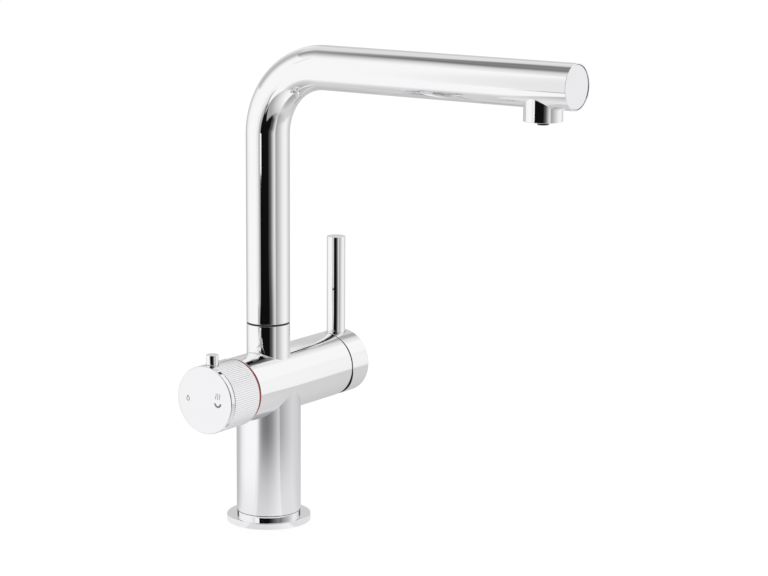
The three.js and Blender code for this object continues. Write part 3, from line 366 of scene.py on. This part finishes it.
# The finishes of the CAD nodes inside. The others are chrome.
INNER = {
    BRASS: [
        "base_plug", "swivel_spigot", "boiling_riser_pin", "valve_bonnet", "valve_spindle",
        "cartridge_nut",
    ],
    COPPER: ["hot_pipe", "cold_pipe", "boiling_pipe", "filtered_pipe"],
    STEEL: [
        "spout_grub_screw", "hose_ferrule", "spindle_circlip", "knob_screw", "button_spring",
        "stem_pin", "lever_stem", "lever_grub_screw",
    ],
    RUBBER: [
        "worktop_seal", "column_seal", "spigot_o_ring_lower", "spigot_o_ring_upper",
        "outlet_o_ring", "valve_seat_seal", "spindle_o_ring", "cartridge_seal",
    ],
    WHITE: ["thrust_washer", "disc_carrier", "stem_rotor"],
    GREY: ["stop_ring", "knob_hub", "cartridge_base", "cartridge_housing"],
    CERAMIC: [
        "valve_fixed_disc", "valve_moving_disc", "cartridge_fixed_disc", "cartridge_moving_disc",
    ],
    SILICONE: ["boiling_hose"],
}
finishes = {name: finish for finish, names in INNER.items() for name in names}
for name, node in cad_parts.items():
    for holder in node.material_slots:
        holder.material = finishes.get(name, CHROME)


def piece(obj, finish, slot, body, *nodes):
    """Gives a piece its finish, its body and the CAD nodes that it stands for."""
    obj.data.materials.clear()
    obj.data.materials.append(finish)
    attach(obj, body)
    if nodes:
        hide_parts(*nodes)
    return obj


def paint_seam_shade(obj, hidden):
    """Gives the faces inside a seam a near-black finish: painted shade in the seam.

    They are those where hidden(x, r, facing) holds: a face's place along the bar's axis, its
    distance from that axis, and how far it looks along it.
    """
    obj.data.materials.append(SEAM_SHADE)
    for face in obj.data.polygons:
        x, y, z = face.center / MM
        if hidden(x, math.hypot(y, z - BAR_Z), face.normal.x):
            face.material_index = len(obj.data.materials) - 1


# ---- Foot ----

flange = revolve(
    "flange",
    [
        (17, 0, 0), (25, 0, 0), (25, 1.6, 0), (28.6, 1.6, 0), (28.6, 0, 0), (31, 0, 0.25),
        (31, 5, 0.5), (COLUMN_R, 5, 0), (COLUMN_R, 8, 0.15), (17, 8, 0.2),
    ],
    along_z(),
    256,
)
piece(flange, CHROME, "chrome", "body", "base_flange")


# ---- Body ----


def under_bar(y):
    return BAR_Z - math.sqrt(BAR_R**2 - y**2)


def over_bar(y):
    return BAR_Z + math.sqrt(BAR_R**2 - y**2)


def add_column():
    """The column, whose upper edge follows the underside of the bar and sinks into it."""
    count, sink = 256, 0.25
    foot = [(COLUMN_BORE_R, 30, 0), (COLUMN_BORE_R, 0, 0.3), (COLUMN_R, 0, 0.25), (COLUMN_R, 30, 0)]
    rings = [upright(r, count, lambda a, b: COLUMN_FOOT_Z + t) for r, t in lip(foot)]
    for r in (COLUMN_R, COLUMN_BORE_R):
        rings.append(upright(r, count, lambda a, b: under_bar(b) + sink))
    return skin("column", rings)


def add_bar():
    """The bar across, hollow at both ends, with the way up into the stub."""
    bar = revolve(
        "cross_body",
        [
            (0, -22, 0), (13, -22, 0), (13, -34, 0), (21, -34, 0), (21, BAR_LEFT, 0.2),
            (BAR_R, BAR_LEFT, 0.25), (BAR_R, BAR_RIGHT, 0.25), (19.3, BAR_RIGHT, 0.25),
            (19.3, 60.5, 0), (17.8, 60.5, 0), (17.8, 24, 0), (0, 24, 0),
        ],
        along_x,
        256,
    )
    return cut(bar, drill(STUB_BORE_R + 0.4, STUB_FLOOR_Z, 140, along_z()))


def add_stub():
    """The stub, with the small fillet at its foot, its bore and the grub screw's hole."""
    count, sink = 192, 0.2
    rings = [
        upright(STUB_BORE_R, count, lambda a, b: STUB_FLOOR_Z + 0.1),
        upright(STUB_R + STUB_FILLET, count, lambda a, b: over_bar(b) - sink),
    ]
    for s, c in quarter():
        r, up = STUB_R + STUB_FILLET * (1 - s), STUB_FILLET * (1 - c)
        rings.append(upright(r, count, lambda a, b: over_bar(b) + up))
    rim = [(STUB_R, -5, 0), (STUB_R, 0, 0.25), (STUB_BORE_R, 0, 0.25), (STUB_BORE_R, -5, 0)]
    rings += [upright(r, count, lambda a, b: STUB_TOP_Z + t) for r, t in lip(rim)]
    return cut(skin("stub", rings), drill(GRUB_HOLE_R, 10, 17, along_y(GRUB_HOLE_Z), 32))


piece(add_column(), BODY_CHROME, "chrome", "body", "tap_body")
cross_body = join("cross_body", add_bar(), add_stub())
piece(cross_body, CHROME, "chrome", "body", "tap_body")
# Painted shade on the bar's end face and bore inside the seam at the lever cap.
paint_seam_shade(cross_body, lambda x, r, facing: x > BAR_RIGHT - 0.01 or (x > 20 and r < 20))

swivel = revolve(
    "swivel_seam",
    [(13.5, 149.5, 0.15), (15.7, 149.5, 0.15), (15.7, 150.4, 0.15), (13.5, 150.4, 0.15)],
    along_z(),
    160,
)
piece(swivel, BLACK, "black_plastic", "body", "swivel_ring")


# ---- Spout ----

UP, OUT = Vector((0, 0, 1)), Vector((0, -1, 0))


def spout_line():
    """Places and tangents along the middle of the spout, without its two ends."""
    line = [(Vector((0, 0, z)), UP) for z in (200, 250, SPOUT_Z - BEND_R)]
    centre = Vector((0, -BEND_R, SPOUT_Z - BEND_R))
    for s, c in quarter(64)[1:-1]:
        line.append((centre + Vector((0, BEND_R * c, BEND_R * s)), Vector((0, -s, c))))
    return line + [(Vector((0, y, SPOUT_Z)), OUT) for y in (-BEND_R, -100, -150, -200)]


def add_tube():
    """The tube, with the seat of its end cap and the way down into the outlet."""

    def across(place, tangent, r, shift=0.0):
        side = Vector((1, 0, 0))
        over = tangent.cross(side)
        middle = place + tangent * shift
        return [tuple(middle + (side * c + over * s) * r) for c, s in circle(192)]

    line = spout_line()
    foot, end = Vector((0, 0, TUBE_FOOT_Z)), Vector((0, SPOUT_END, SPOUT_Z))
    rim = [(TUBE_BORE_R, 9, 0), (TUBE_BORE_R, 0, 0.25), (TUBE_R, 0, 0.25), (TUBE_R, 9, 0)]
    seat = [
        (TUBE_R, -9, 0), (TUBE_R, 0, 0.2), (15.2, 0, 0.2), (15.2, -3.3, 0), (TUBE_BORE_R, -3.3, 0),
    ]
    rings = [across(foot, UP, r, t) for r, t in lip(rim)]
    rings += [across(place, tangent, TUBE_R) for place, tangent in line]
    rings += [across(end, OUT, r, t) for r, t in rounded(seat)[1:]]
    rings += [across(place, tangent, TUBE_BORE_R) for place, tangent in reversed(line)]
    return cut(skin("spout", rings), drill(OUTLET_BORE_R, 310, 338, along_z(0, OUTLET_Y)))


def add_boss():
    """The outlet's boss, whose upper edge follows the underside of the tube."""

    def under_tube(x):
        return SPOUT_Z - math.sqrt(TUBE_R**2 - x**2)

    def ring(r, height):
        return upright(r, 160, height, OUTLET_Y)

    face = [(OUTLET_BORE_R, 5, 0), (OUTLET_BORE_R, 0, 0.2), (OUTLET_R, 0, 0.35), (OUTLET_R, 5, 0)]
    rings = [ring(r, lambda a, b: OUTLET_FACE_Z + t) for r, t in lip(face)]
    for s, c in quarter():
        r, down = OUTLET_R + OUTLET_FILLET * (1 - c), OUTLET_FILLET * (1 - s)
        rings.append(ring(r, lambda a, b: under_tube(a) - down))
    # The upper edge ends inside the wall of the tube.
    for r, sink in ((OUTLET_R + OUTLET_FILLET, 0.3), (OUTLET_BORE_R, 1.0)):
        rings.append(ring(r, lambda a, b: under_tube(a) + sink))
    return skin("boss", rings)


piece(join("spout", add_tube(), add_boss()), CHROME, "chrome", "spout", "spout_tube")

cap_face = SPOUT_END + CAP_RECESS
end_disc = revolve(
    "spout_end_disc",
    [(0, -255, 0), (14.9, -255, 0.2), (14.9, cap_face, 0.2), (0, cap_face, 0)],
    along_y(SPOUT_Z),
    160,
)
# The end cap takes the darker copy of the chrome, as painted shade.
piece(end_disc, SHADED_CAP_CHROME, "chrome", "spout", "spout_end_cap")

nozzle = revolve(
    "boiling_outlet",
    [
        (2.5, 313.1, 0.4), (4, 313.1, 0.5), (4, 324.3, 0), (6, 324.3, 0), (6, 325.3, 0),
        (2.5, 325.3, 0),
    ],
    along_z(0, OUTLET_Y),
    96,
)
piece(nozzle, BLACK, "black_plastic", "spout", "boiling_nozzle")


def add_aerator():
    """The insert round the nozzle: a rim, ten slots and a groove for its seal."""
    insert = revolve(
        "flow_insert",
        [
            (4.3, 316.5, 0.3), (11.2, 316.5, 0.4), (11.2, 320.9, 0), (10.1, 320.9, 0),
            (10.1, 323.1, 0), (11.2, 323.1, 0), (11.2, 324, 0), (4.3, 324, 0),
        ],
        along_z(0, OUTLET_Y),
        120,
    )
    corners = [(6.3, -0.9), (9.1, -0.9), (9.1, 0.9), (6.3, 0.9)]
    slots = []
    for c, s in circle(10):
        shape = [(x * c - y * s, OUTLET_Y + x * s + y * c) for x, y in corners]
        slots.append(prism(shape, 315, 326))
    return cut(insert, *slots)


piece(add_aerator(), GREY, "grey_plastic", "spout", "aerator_insert")


# ---- Knob ----

hot_ring = revolve(
    "hot_ring",
    [(21, -41.6, 0), (KNOB_R - 0.5, -41.6, 0.2), (KNOB_R - 0.5, -40.3, 0.2), (21, -40.3, 0)],
    along_x,
    256,
)
piece(hot_ring, RED, "red_plastic", "body", "red_ring")


def slot_cutter(low, high, end):
    """The button's slot: round about its axis, and open towards the rim, as far as end."""
    arc = [(BUTTON_X - BUTTON_SLOT * c, BUTTON_SLOT * s) for c, s in circle(64) if c <= 1e-9]
    arc.sort(key=lambda place: place[1])
    return prism([(end, -BUTTON_SLOT), *arc, (end, BUTTON_SLOT)], BAR_Z + low, BAR_Z + high)


def add_sleeve():
    """The knurled sleeve: rounded ribs that run out in a small chamfer at both ends."""
    points_per_rib = 10
    turn = circle(KNOB_RIBS * points_per_rib)
    chamfer = [(0, 0.62), (0.25, 0.3), (0.6, 0.0)]  # along the axis, and off the radius

    def bore(x):
        return [(x, KNOB_BORE_R * c, BAR_Z + KNOB_BORE_R * s) for c, s in turn]

    def ribs(x, shrink):
        ring = []
        for i, (c, s) in enumerate(turn):
            phase = (i % points_per_rib) / points_per_rib
            valley = abs(2 * phase - 1) ** 2.2
            r = min(KNOB_R - RIB_DEPTH * valley, KNOB_R - shrink)
            ring.append((x, r * c, BAR_Z + r * s))
        return ring

    rings = [bore(SLEEVE_START)]
    rings += [ribs(SLEEVE_START - inset, shrink) for inset, shrink in chamfer]
    rings += [ribs(SLEEVE_END + inset, shrink) for inset, shrink in reversed(chamfer)]
    rings.append(bore(SLEEVE_END))
    return cut(skin("knurled_sleeve", rings), slot_cutter(5, 30, -80.0))


piece(add_sleeve(), KNURLED, "chrome", "knob", "knob_sleeve")


def add_knob_cap():
    """The cap: a polished rim, and a face that a fine groove sets off from it."""
    face = KNOB_FACE + FACE_GROOVE
    cap = revolve(
        "knob_face",
        [
            (0, -72.4, 0), (18.6, -72.4, 0), (18.6, -64, 0), (20.7, -64, 0), (20.7, CAP_START, 0),
            (KNOB_R, CAP_START, 0.25), (KNOB_R, KNOB_FACE, 0.7), (23.6, KNOB_FACE, 0.05),
            (23.6, face, 0), (0, face, 0),
        ],
        along_x,
        256,
        steps=6,
    )
    return cut(cap, slot_cutter(12, 24.2, CAP_START))


# The knob's cap takes the darker copy of the chrome, as painted shade.
piece(add_knob_cap(), SHADED_KNOB_CHROME, "chrome", "knob", "knob_cap")

button = revolve(
    "safety_pin",
    [
        (0, 119.44, 0), (5.6, 119.44, 0.2), (5.6, 122.44, 0.2), (BUTTON_R, 122.44, 0),
        (BUTTON_R, BUTTON_TOP_Z, 0.5), (0, BUTTON_TOP_Z, 0),
    ],
    along_z(BUTTON_X),
    96,
)
piece(button, CHROME, "chrome", "button", "safety_button")


def stroke(name, width, paths, closed=False):
    """Thin inlaid lines on the knob's face, from points (y, z) about its centre."""
    points, faces = [], []
    back, front = KNOB_FACE + 0.06, KNOB_FACE + 0.005
    for path in paths:
        line = [Vector(place) for place in path]
        count = len(line)
        start = len(points)
        for i, here in enumerate(line):
            before = line[i - 1] if closed or i else here
            after = line[(i + 1) % count] if closed or i < count - 1 else here
            along = (after - before).normalized()
            side = Vector((-along.y, along.x)) * width / 2
            for edge in (here + side, here - side):
                for x in (back, front):
                    points.append((x, edge.x, BAR_Z + edge.y))
        for i in range(count if closed else count - 1):
            a, b = start + 4 * i, start + 4 * ((i + 1) % count)
            for p, q in ((0, 1), (1, 3), (3, 2), (2, 0)):
                faces.append((a + p, a + q, b + q, b + p))
        if not closed:
            for a in (start, start + 4 * (count - 1)):
                faces.append((a, a + 1, a + 3, a + 2))
    return solid(name, points, faces)


def drop(y, z, r):
    """The outline of a drop of water."""
    path = []
    for c, s in circle(40):
        rise = max(0, s)
        path.append((y + r * c * (1 - 0.35 * rise), z + r * (s + 0.9 * rise**6)))
    return path


def wave(y, z, height):
    """A line of rising heat."""
    return [(y + 0.35 * math.sin(TAU * k / 16), z + height * (k / 16 - 0.5)) for k in range(17)]


def bowl(y, z, r):
    """The lower half of a circle."""
    turns = [math.pi * k / 16 for k in range(17)]
    return [(y + r * math.cos(a), z - r * math.sin(a)) for a in turns]


BOWL_Y = -12.1
for mark in (
    stroke("mark_water", 0.55, [drop(15.1, -0.6, 1.3)], closed=True),
    stroke("mark_heat", 0.5, [wave(BOWL_Y + 1.7 * k, 4.4, 4.4) for k in (-1, 0, 1)]),
    stroke("mark_bowl", 1.5, [bowl(BOWL_Y, -0.6, 2.5)]),
):
    piece(mark, MARK, "grey_plastic", "knob")


# ---- Lever ----


def add_lever_cap():
    """The cap behind the mixer, cut back below its axis so that it can tilt."""
    outline = rounded(
        [
            (0, 90.6, 0), (LEVER_BORE_R, 90.6, 0), (LEVER_BORE_R, LEVER_START, 0.1),
            (BAR_R, LEVER_START, 0.25), (BAR_R, LEVER_END, 0.5), (0, LEVER_END, 0),
        ],
        steps=5,
    )
    rings = []
    for r, t in outline:
        slope = LEVER_SLOPE if t < 80 else 0
        turn = circle(256) if r else [(0, 0)]
        rings.append([(t + max(0, -s) * r * slope, r * c, BAR_Z + r * s) for c, s in turn])
    hole = drill(ROD_R + 0.3, 112, 140, along_z(ROD_X))
    screw = drill(1.9, 70, 90, along_z(ROD_X), 32)
    return cut(skin("lever_cap_shell", rings), hole, screw)


lever_cap = piece(add_lever_cap(), CHROME, "chrome", "lever", "lever_cap")
# Painted shade on the cap's bore and mouth inside the same seam.
paint_seam_shade(lever_cap, lambda x, r, facing: (x < 92 and r < 23.8) or (facing < -0.9 and r < 24.1))

rod = revolve(
    "lever_handle",
    [
        (0, 110.5, 0), (3.5, 110.5, 0.2), (3.5, ROD_FOOT_Z, 0), (ROD_R, ROD_FOOT_Z, 0.3),
        (ROD_R, ROD_TOP_Z, 0.5), (0, ROD_TOP_Z, 0),
    ],
    along_z(ROD_X),
    128,
)
piece(rod, CHROME, "chrome", "lever", "lever_rod")


# ---- Camera ----

lens = bpy.data.cameras.new("camera")
lens.sensor_fit = "HORIZONTAL"
lens.sensor_width = SENSOR_WIDTH
lens.lens = FOCAL_LENGTH
lens.clip_start, lens.clip_end = 0.05, 60.0
camera = bpy.data.objects.new("camera", lens)
bpy.context.scene.collection.objects.link(camera)
bpy.context.scene.camera = camera
back = TOWARDS * math.cos(PITCH) + Vector((0, 0, math.sin(PITCH)))
up = Vector((0, 0, math.cos(PITCH))) - TOWARDS * math.sin(PITCH)
across = RIGHT * math.cos(ROLL) + up * math.sin(ROLL)
above = up * math.cos(ROLL) - RIGHT * math.sin(ROLL)
turned = camera.matrix_world.copy()
for i in range(3):
    turned[i][0], turned[i][1], turned[i][2] = across[i], above[i], back[i]
turned.translation = Vector(CAMERA_AT) * MM
camera.matrix_world = turned


# ---- Studio ----

# Angles in plan are in degrees, to the right of the line from the tap to the camera.
# A key is an angle and a tone: what the chrome reflects there.

AROUND = 720  # points round the floor card and the wall card
ROOM_R = 1790  # from the tap to the walls


def blend_keys(keys, value):
    """The value between the nearest two keys (place, value)."""
    if value <= keys[0][0]:
        return keys[0][1]
    for (a, va), (b, vb) in zip(keys, keys[1:]):
        if value <= b:
            return va + (vb - va) * (value - a) / (b - a)
    return keys[-1][1]


def smooth(start, end, value):
    """Goes from 0 at start to 1 at end, without a corner."""
    x = min(max((value - start) / (end - start), 0), 1)
    return x * x * (3 - 2 * x)


def plan(distance, beta):
    """The place (x, y) at a distance from the tap and an angle."""
    a = math.radians(beta)
    place = (TOWARDS * math.cos(a) + RIGHT * math.sin(a)) * distance
    return place.x, place.y


# What stands far round the tap, by angle: white on the left, the dark side of the room in front,
# a soft edge, the grey panel on the right and pale grey behind.
FAR = [
    (-180, 0.58), (-160, 0.52), (-148, 0.55), (-138, 0.66), (-128, 0.86), (-115, 0.97),
    (-100, 1.0), (-55, 1.0), (-52, 0.51), (-39, 0.50), (-36, 0.005), (3, 0.005), (6, 0.03),
    (9, 0.07), (14.4, 0.09), (19.8, 0.22), (25.3, 0.44), (30.8, 0.67), (36.4, 0.83), (41, 0.78),
    (43.5, 0.39), (48, 0.41), (58, 0.54), (68, 0.66), (80, 0.83), (92, 0.93), (104, 0.96),
    (110, 0.95), (115, 0.87), (121, 0.87), (131, 0.72), (143, 0.64), (160, 0.60), (180, 0.58),
]
# The same in front and on the right, higher up.
FRONT = [
    (-1, 0.005), (5, 0.01), (13, 0.04), (20, 0.09), (30, 0.17), (40, 0.25), (43, 0.16),
    (50, 0.26), (58, 0.36), (68, 0.45), (80, 0.60), (92, 0.80), (104, 0.95),
]
# The worktop close to the tap.
NEAR = [
    (-180, 0.55), (-145, 0.54), (-131, 0.54), (-116, 0.62), (-103, 0.72), (-96, 0.79),
    (-90, 0.85), (-80, 0.88), (-60, 0.89), (-36, 0.86), (-30, 0.69), (0, 0.69), (20, 0.78),
    (40.5, 0.90), (41.5, 0.78), (90, 0.80), (110, 0.71), (130, 0.67), (145, 0.64), (180, 0.62),
]
# The worktop at arm's length.
MIDDLE = [
    (-180, 0.55), (-143, 0.54), (-131, 0.55), (-122, 0.61), (-115, 0.70), (-108, 0.79),
    (-101.5, 0.89), (-96, 0.93), (-91, 0.95), (-80, 1.0), (-40, 1.0), (-35, 0.88), (-28, 0.46),
    (-19, 0.25), (-8, 0.205), (0, 0.205), (8, 0.25), (14, 0.29), (24, 0.43), (32, 0.56),
    (40.5, 0.66), (42, 0.40), (50, 0.43), (63, 0.53), (76, 0.61), (90, 0.69), (100, 0.70),
    (110, 0.68), (125, 0.66), (139, 0.61), (150, 0.56), (180, 0.56),
]


def floor_tone(distance, beta):
    """The tone of the floor card, from the worktop at the tap to the foot of the walls."""
    x, y = plan(distance, beta)
    near, middle = blend_keys(NEAR, beta), blend_keys(MIDDLE, beta)
    share = smooth(30, 190, distance) if beta < -42 else smooth(60, 330, distance)
    tone = near + (middle - near) * share
    # A paler patch at the foot, in front.
    tone += 0.07 * smooth(70, 45, distance) * smooth(-50, -30, beta) * smooth(50, 30, beta)
    # The dark side's edges lean a little as they come nearer.
    lean = 0
    if -52 < beta < -10:
        lean = 5 * smooth(880, 730, distance)
    elif 3 < beta < 41:
        lean = -5 * smooth(1150, 730, distance)
    far = blend_keys(FAR, beta + lean)
    if beta < -60:
        beyond = smooth(400, 640, distance)
    elif beta < -37:
        beyond = smooth(640, 720, distance)
    elif 42 < beta < 150:
        # The near part of the worktop ends in a straight edge on this side.
        beyond = smooth(240, 300, -y) * smooth(0, 12, x - 300 + 0.45 * (219 + y))
        beyond = max(beyond, smooth(440, 540, distance))
    else:
        beyond = smooth(380, 470, distance)
    return tone + (far - tone) * beyond


def worktop_front(distance, beta):
    """1 on the worktop in front of the tap, as far as its straight front edge, 0 elsewhere."""
    y = plan(distance, beta)[1]
    sides = smooth(-40, -36, beta) * smooth(46, 38, beta)
    return smooth(-285, -255, y) * sides * smooth(800, 740, distance)


def card_material(name, steep=None, front=None):
    """A card that glows in the tones painted on its points.

    steep and front give two tones each for the card seen from above, and front is for the
    worktop's front part. The first one of the two is seen from straight above.
    """
    made, nodes, links = new_material(name)
    nodes.clear()
    out = nodes.new("ShaderNodeOutputMaterial")
    glow = nodes.new("ShaderNodeEmission")
    paint = nodes.new("ShaderNodeAttribute")
    paint.attribute_name = "tone"
    parts = nodes.new("ShaderNodeSeparateColor")
    links.new(paint.outputs["Color"], parts.inputs["Color"])
    tone = parts.outputs["Red"]

    def blend(share, first, second):
        mix = nodes.new("ShaderNodeMix")
        for socket, source in (("Factor", share), ("A", first), ("B", second)):
            links.new(source, mix.inputs[socket])
        return mix.outputs["Result"]

    # Seen from above the worktop shows its own tones; at a slant it shows the tones painted on its
    # points, a painted reflection of the room in the worktop's gloss.
    if steep is not None:
        facing = nodes.new("ShaderNodeLayerWeight")
        facing.inputs["Blend"].default_value = 0.5

        def by_slope(low, high, start, end):
            return spread(nodes, links, facing.outputs["Facing"], low, high, start, end)

        in_front = parts.outputs["Green"]
        under = blend(in_front, by_slope(*steep, 0.02, 0.17), by_slope(*front, 0.04, 0.43))
        share = blend(in_front, by_slope(0, 1, 0.19, 0.29), by_slope(0, 1, 0.60, 0.68))
        tone = blend(share, under, tone)
    links.new(tone, glow.inputs["Color"])
    links.new(glow.outputs["Emission"], out.inputs["Surface"])
    return made


def card(name, points, faces, tones, fronts=None, **slopes):
    """A reflection card: only mirror reflections see it, and it casts no light or shadow."""
    obj = make(name, points, faces, weighted=False)
    paint = obj.data.color_attributes.new("tone", "FLOAT_COLOR", "POINT")
    for i, tone in enumerate(tones):
        paint.data[i].color = (tone, fronts[i] if fronts else 0, 0, 1)
    obj.data.materials.append(card_material(name, **slopes))
    obj.visible_camera = False
    obj.visible_diffuse = False
    obj.visible_transmission = False
    obj.visible_volume_scatter = False
    obj.visible_shadow = False


def add_floor_card():
    """The worktop and what lies beyond it, as the chrome reflects them."""
    distances = [
        0, 40, 60, 100, 130, 160, 190, 220, 250, 280, 310, 340, 370, 400, 430, 460, 500, 560, 600,
        640, 680, 720, 760, 800, 850, 920, 1000, 1200, 1500, ROOM_R,
    ]
    height, smallest = 0.3, 1
    points, tones, fronts = [], [], []
    for distance in distances:
        for k in range(AROUND):
            beta = -180 + 360 * k / AROUND
            points.append((*plan(max(distance, smallest), beta), height))
            tones.append(floor_tone(distance, beta))
            fronts.append(worktop_front(distance, beta))
    faces = []
    for row in range(0, (len(distances) - 1) * AROUND, AROUND):
        for k in range(AROUND):
            a, b = row + k, row + (k + 1) % AROUND
            faces.append((a, b, b + AROUND, a + AROUND))
    card("floor_card", points, faces, tones, fronts, steep=(0.42, 0.68), front=(1.0, 0.40))


def add_wall_card():
    """The far walls: low in front and on the right, higher behind, and paler towards their top."""
    heights = [
        (-180, 1700), (-146, 1700), (-140, 1100), (-96, 1100), (-92, 2), (-2, 2), (-1, 700),
        (104, 700), (122, 700), (134, 1300), (148, 1700), (180, 1700),
    ]
    # Parts of the height, and how far each one is on the way to white.
    levels = [(0, 0), (0.05, 0), (0.15, 0.17), (0.4, 0.17), (0.78, 0.12), (0.90, 0.45), (1.0, 0.9)]
    rows = len(levels)
    points, tones, faces = [], [], []
    for k in range(AROUND):
        beta = -180 + 360 * k / AROUND
        x, y = plan(ROOM_R, beta)
        height, tone = blend_keys(heights, beta), blend_keys(FAR, beta)
        for level, share in levels:
            points.append((x, y, height * level))
            if -1 < beta < 104:
                high = blend_keys(FRONT, beta)
                tones.append(tone + (high - tone) * smooth(0.15, 0.5, level))
            else:
                tones.append(tone + (1 - tone) * share)
        a, b = rows * k, rows * ((k + 1) % AROUND)
        faces += [(a + i, b + i, b + i + 1, a + i + 1) for i in range(rows - 1)]
    card("wall_card", points, faces, tones)


def add_upright(name, start, end, low, high, tones):
    """An upright card between two places in plan, with its tones at equal steps along it.

    high gives the height of its top at both ends.
    """
    points, values, faces = [], [], []
    for i, tone in enumerate(tones):
        f = i / (len(tones) - 1)
        x, y = start[0] + (end[0] - start[0]) * f, start[1] + (end[1] - start[1]) * f
        points += [(x, y, low), (x, y, high[0] + (high[1] - high[0]) * f)]
        values += [tone, tone]
    for i in range(len(tones) - 1):
        faces.append((2 * i, 2 * i + 2, 2 * i + 3, 2 * i + 1))
    card(name, points, faces, values)


def add_arc(name, radius, low, high, keys, origin=0):
    """Upright cards side by side on an arc, through keys. Their names count from origin."""
    for (start, tone), (end, other) in zip(keys, keys[1:]):
        places = plan(radius, start), plan(radius, end)
        add_upright(f"{name}_{abs(start - origin)}", *places, low, (high, high), [tone, other])


add_floor_card()
add_wall_card()
add_upright("black_card", (-570, -36), (-1030, -872), 0, (1000, 2100), [0.005, 0.006])
# The foot of the grey strip beside the dark side, for the top of the riser.
add_upright("strip_card", plan(1785, -52), plan(1785, -38), 0, (85, 85), [0.51, 0.50])
# High in front the room stays dark: only the cross body sees it, by way of the riser and the rod.
high_left = [
    (-90, 1.0), (-80, 0.72), (-65, 0.50), (-58, 0.26), (-45, 0.20), (-36, 0.02), (-10, 0.005),
]
high_right = [
    (-10, 0.005), (0, 0.04), (20, 0.07), (35, 0.12), (50, 0.32), (63, 0.60), (83, 0.82), (104, 1.0),
]
add_arc("high_card", 1780, 1000, 2150, high_left, origin=-90)
add_arc("high_card", 1780, 720, 2150, high_right, origin=-90)
# A dim corner high on the right, which shows along the cross body's upper side.
corner_keys = [
    (130, 1.0), (133, 0.93), (138, 0.84), (142, 0.78), (145, 0.70), (148, 0.54), (151, 0.43),
    (157, 0.42), (161, 0.62), (165, 0.62),
]
add_arc("corner_card", 1700, 1190, 1600, corner_keys)
# High behind, the grey that thins out along the outer side of the bend.
rear_keys = [
    (-172, 0.98), (-163, 0.80), (-152, 0.65), (-143, 0.56), (-135, 0.49), (-128, 0.52),
    (-120, 0.68), (-112, 0.86), (-104, 1.0),
]
add_arc("rear_card", 1750, 600, 2200, rear_keys)
# Two dark edges behind, low and near, which show at the sides of the collar.
for side in (-139, 145):
    places = plan(235, side - 10), plan(235, side + 10)
    add_upright(f"edge_card_{abs(side)}", *places, 53, (73, 73), [0.10, 0.10])
# A pale panel on the left, a little darker towards the front, for the long side of the spout.
left_tones = [0.85, 0.86, 0.915, 0.985, 1.0, 1.0]
add_upright("left_card", (-800, 180), (-800, 580), 0, (1500, 1500), left_tones)
# White beyond it, which hides the end of the high cards from the side of the spout.
add_upright("left_back_card", (-800, 580), (-800, 900), 0, (1700, 1700), [1.0, 1.0])


def add_top_card():
    """A card over the spout, for the grey line along its top: wider over the spout's end."""
    height = 1340
    front = [
        (-800, 0.87), (-600, 0.81), (-480, 0.75), (-389, 0.69), (-281, 0.49), (-171, 0.25),
        (-63, 0.20), (40, 0.25), (270, 0.21), (390, 0.36), (520, 0.74), (1100, 0.76),
    ]
    middle = [
        (-800, 0.92), (-620, 0.88), (-480, 0.80), (-358, 0.70), (-248, 0.56), (-140, 0.34),
        (-29, 0.18), (80, 0.24), (190, 0.26), (300, 0.48), (430, 0.78), (1100, 0.80),
    ]
    rear = [
        (-800, 0.97), (-680, 0.95), (-560, 0.90), (-440, 0.78), (-320, 0.65), (-205, 0.50),
        (-100, 0.40), (0, 0.30), (100, 0.38), (190, 0.50), (320, 0.74), (1100, 0.80),
    ]
    rows = [(200, front), (430, front), (530, middle), (680, rear), (1200, rear)]
    wide = len(front)
    points = [(x, y, height) for y, row in rows for x, tone in row]
    faces = []
    for r in range(len(rows) - 1):
        for a in range(wide * r, wide * r + wide - 1):
            faces.append((a, a + 1, a + wide + 1, a + wide))
    card("top_card", points, faces, [tone for y, row in rows for x, tone in row])


def add_floor():
    """A plain white floor that keeps only the faintest shadow."""
    size, brightness, most = 12000, 1.03, 0.88
    corners = [(-size, -size, 0), (size, -size, 0), (size, size, 0), (-size, size, 0)]
    floor = make("floor", corners, [(0, 1, 2, 3)], weighted=False)
    made, nodes, links = new_material("floor")
    nodes.clear()
    out = nodes.new("ShaderNodeOutputMaterial")
    paint = nodes.new("ShaderNodeBsdfDiffuse")
    paint.inputs["Color"].default_value = (0.9, 0.9, 0.9, 1)
    glow = nodes.new("ShaderNodeEmission")
    glow.inputs["Color"].default_value = (1, 1, 1, 1)
    glow.inputs["Strength"].default_value = brightness
    mix = nodes.new("ShaderNodeMixShader")
    rays = nodes.new("ShaderNodeLightPath")
    seen = rays.outputs["Is Camera Ray"]
    for other in ("Is Glossy Ray", "Is Transmission Ray"):
        either = nodes.new("ShaderNodeMath")
        either.operation = "MAXIMUM"
        links.new(seen, either.inputs[0])
        links.new(rays.outputs[other], either.inputs[1])
        seen = either.outputs[0]
    share = nodes.new("ShaderNodeMath")
    share.operation = "MULTIPLY"
    share.inputs[1].default_value = most
    links.new(seen, share.inputs[0])
    links.new(share.outputs[0], mix.inputs["Fac"])
    links.new(paint.outputs[0], mix.inputs[1])
    links.new(glow.outputs[0], mix.inputs[2])
    links.new(mix.outputs[0], out.inputs["Surface"])
    floor.data.materials.append(made)


add_top_card()
add_floor()

world = bpy.data.worlds.new("studio")
bpy.context.scene.world = world
world.use_nodes = True
sky = world.node_tree.nodes["Background"]
sky.inputs["Color"].default_value = (1, 1, 1, 1)
sky.inputs["Strength"].default_value = 1.0

bpy.context.scene.view_settings.view_transform = "Standard"
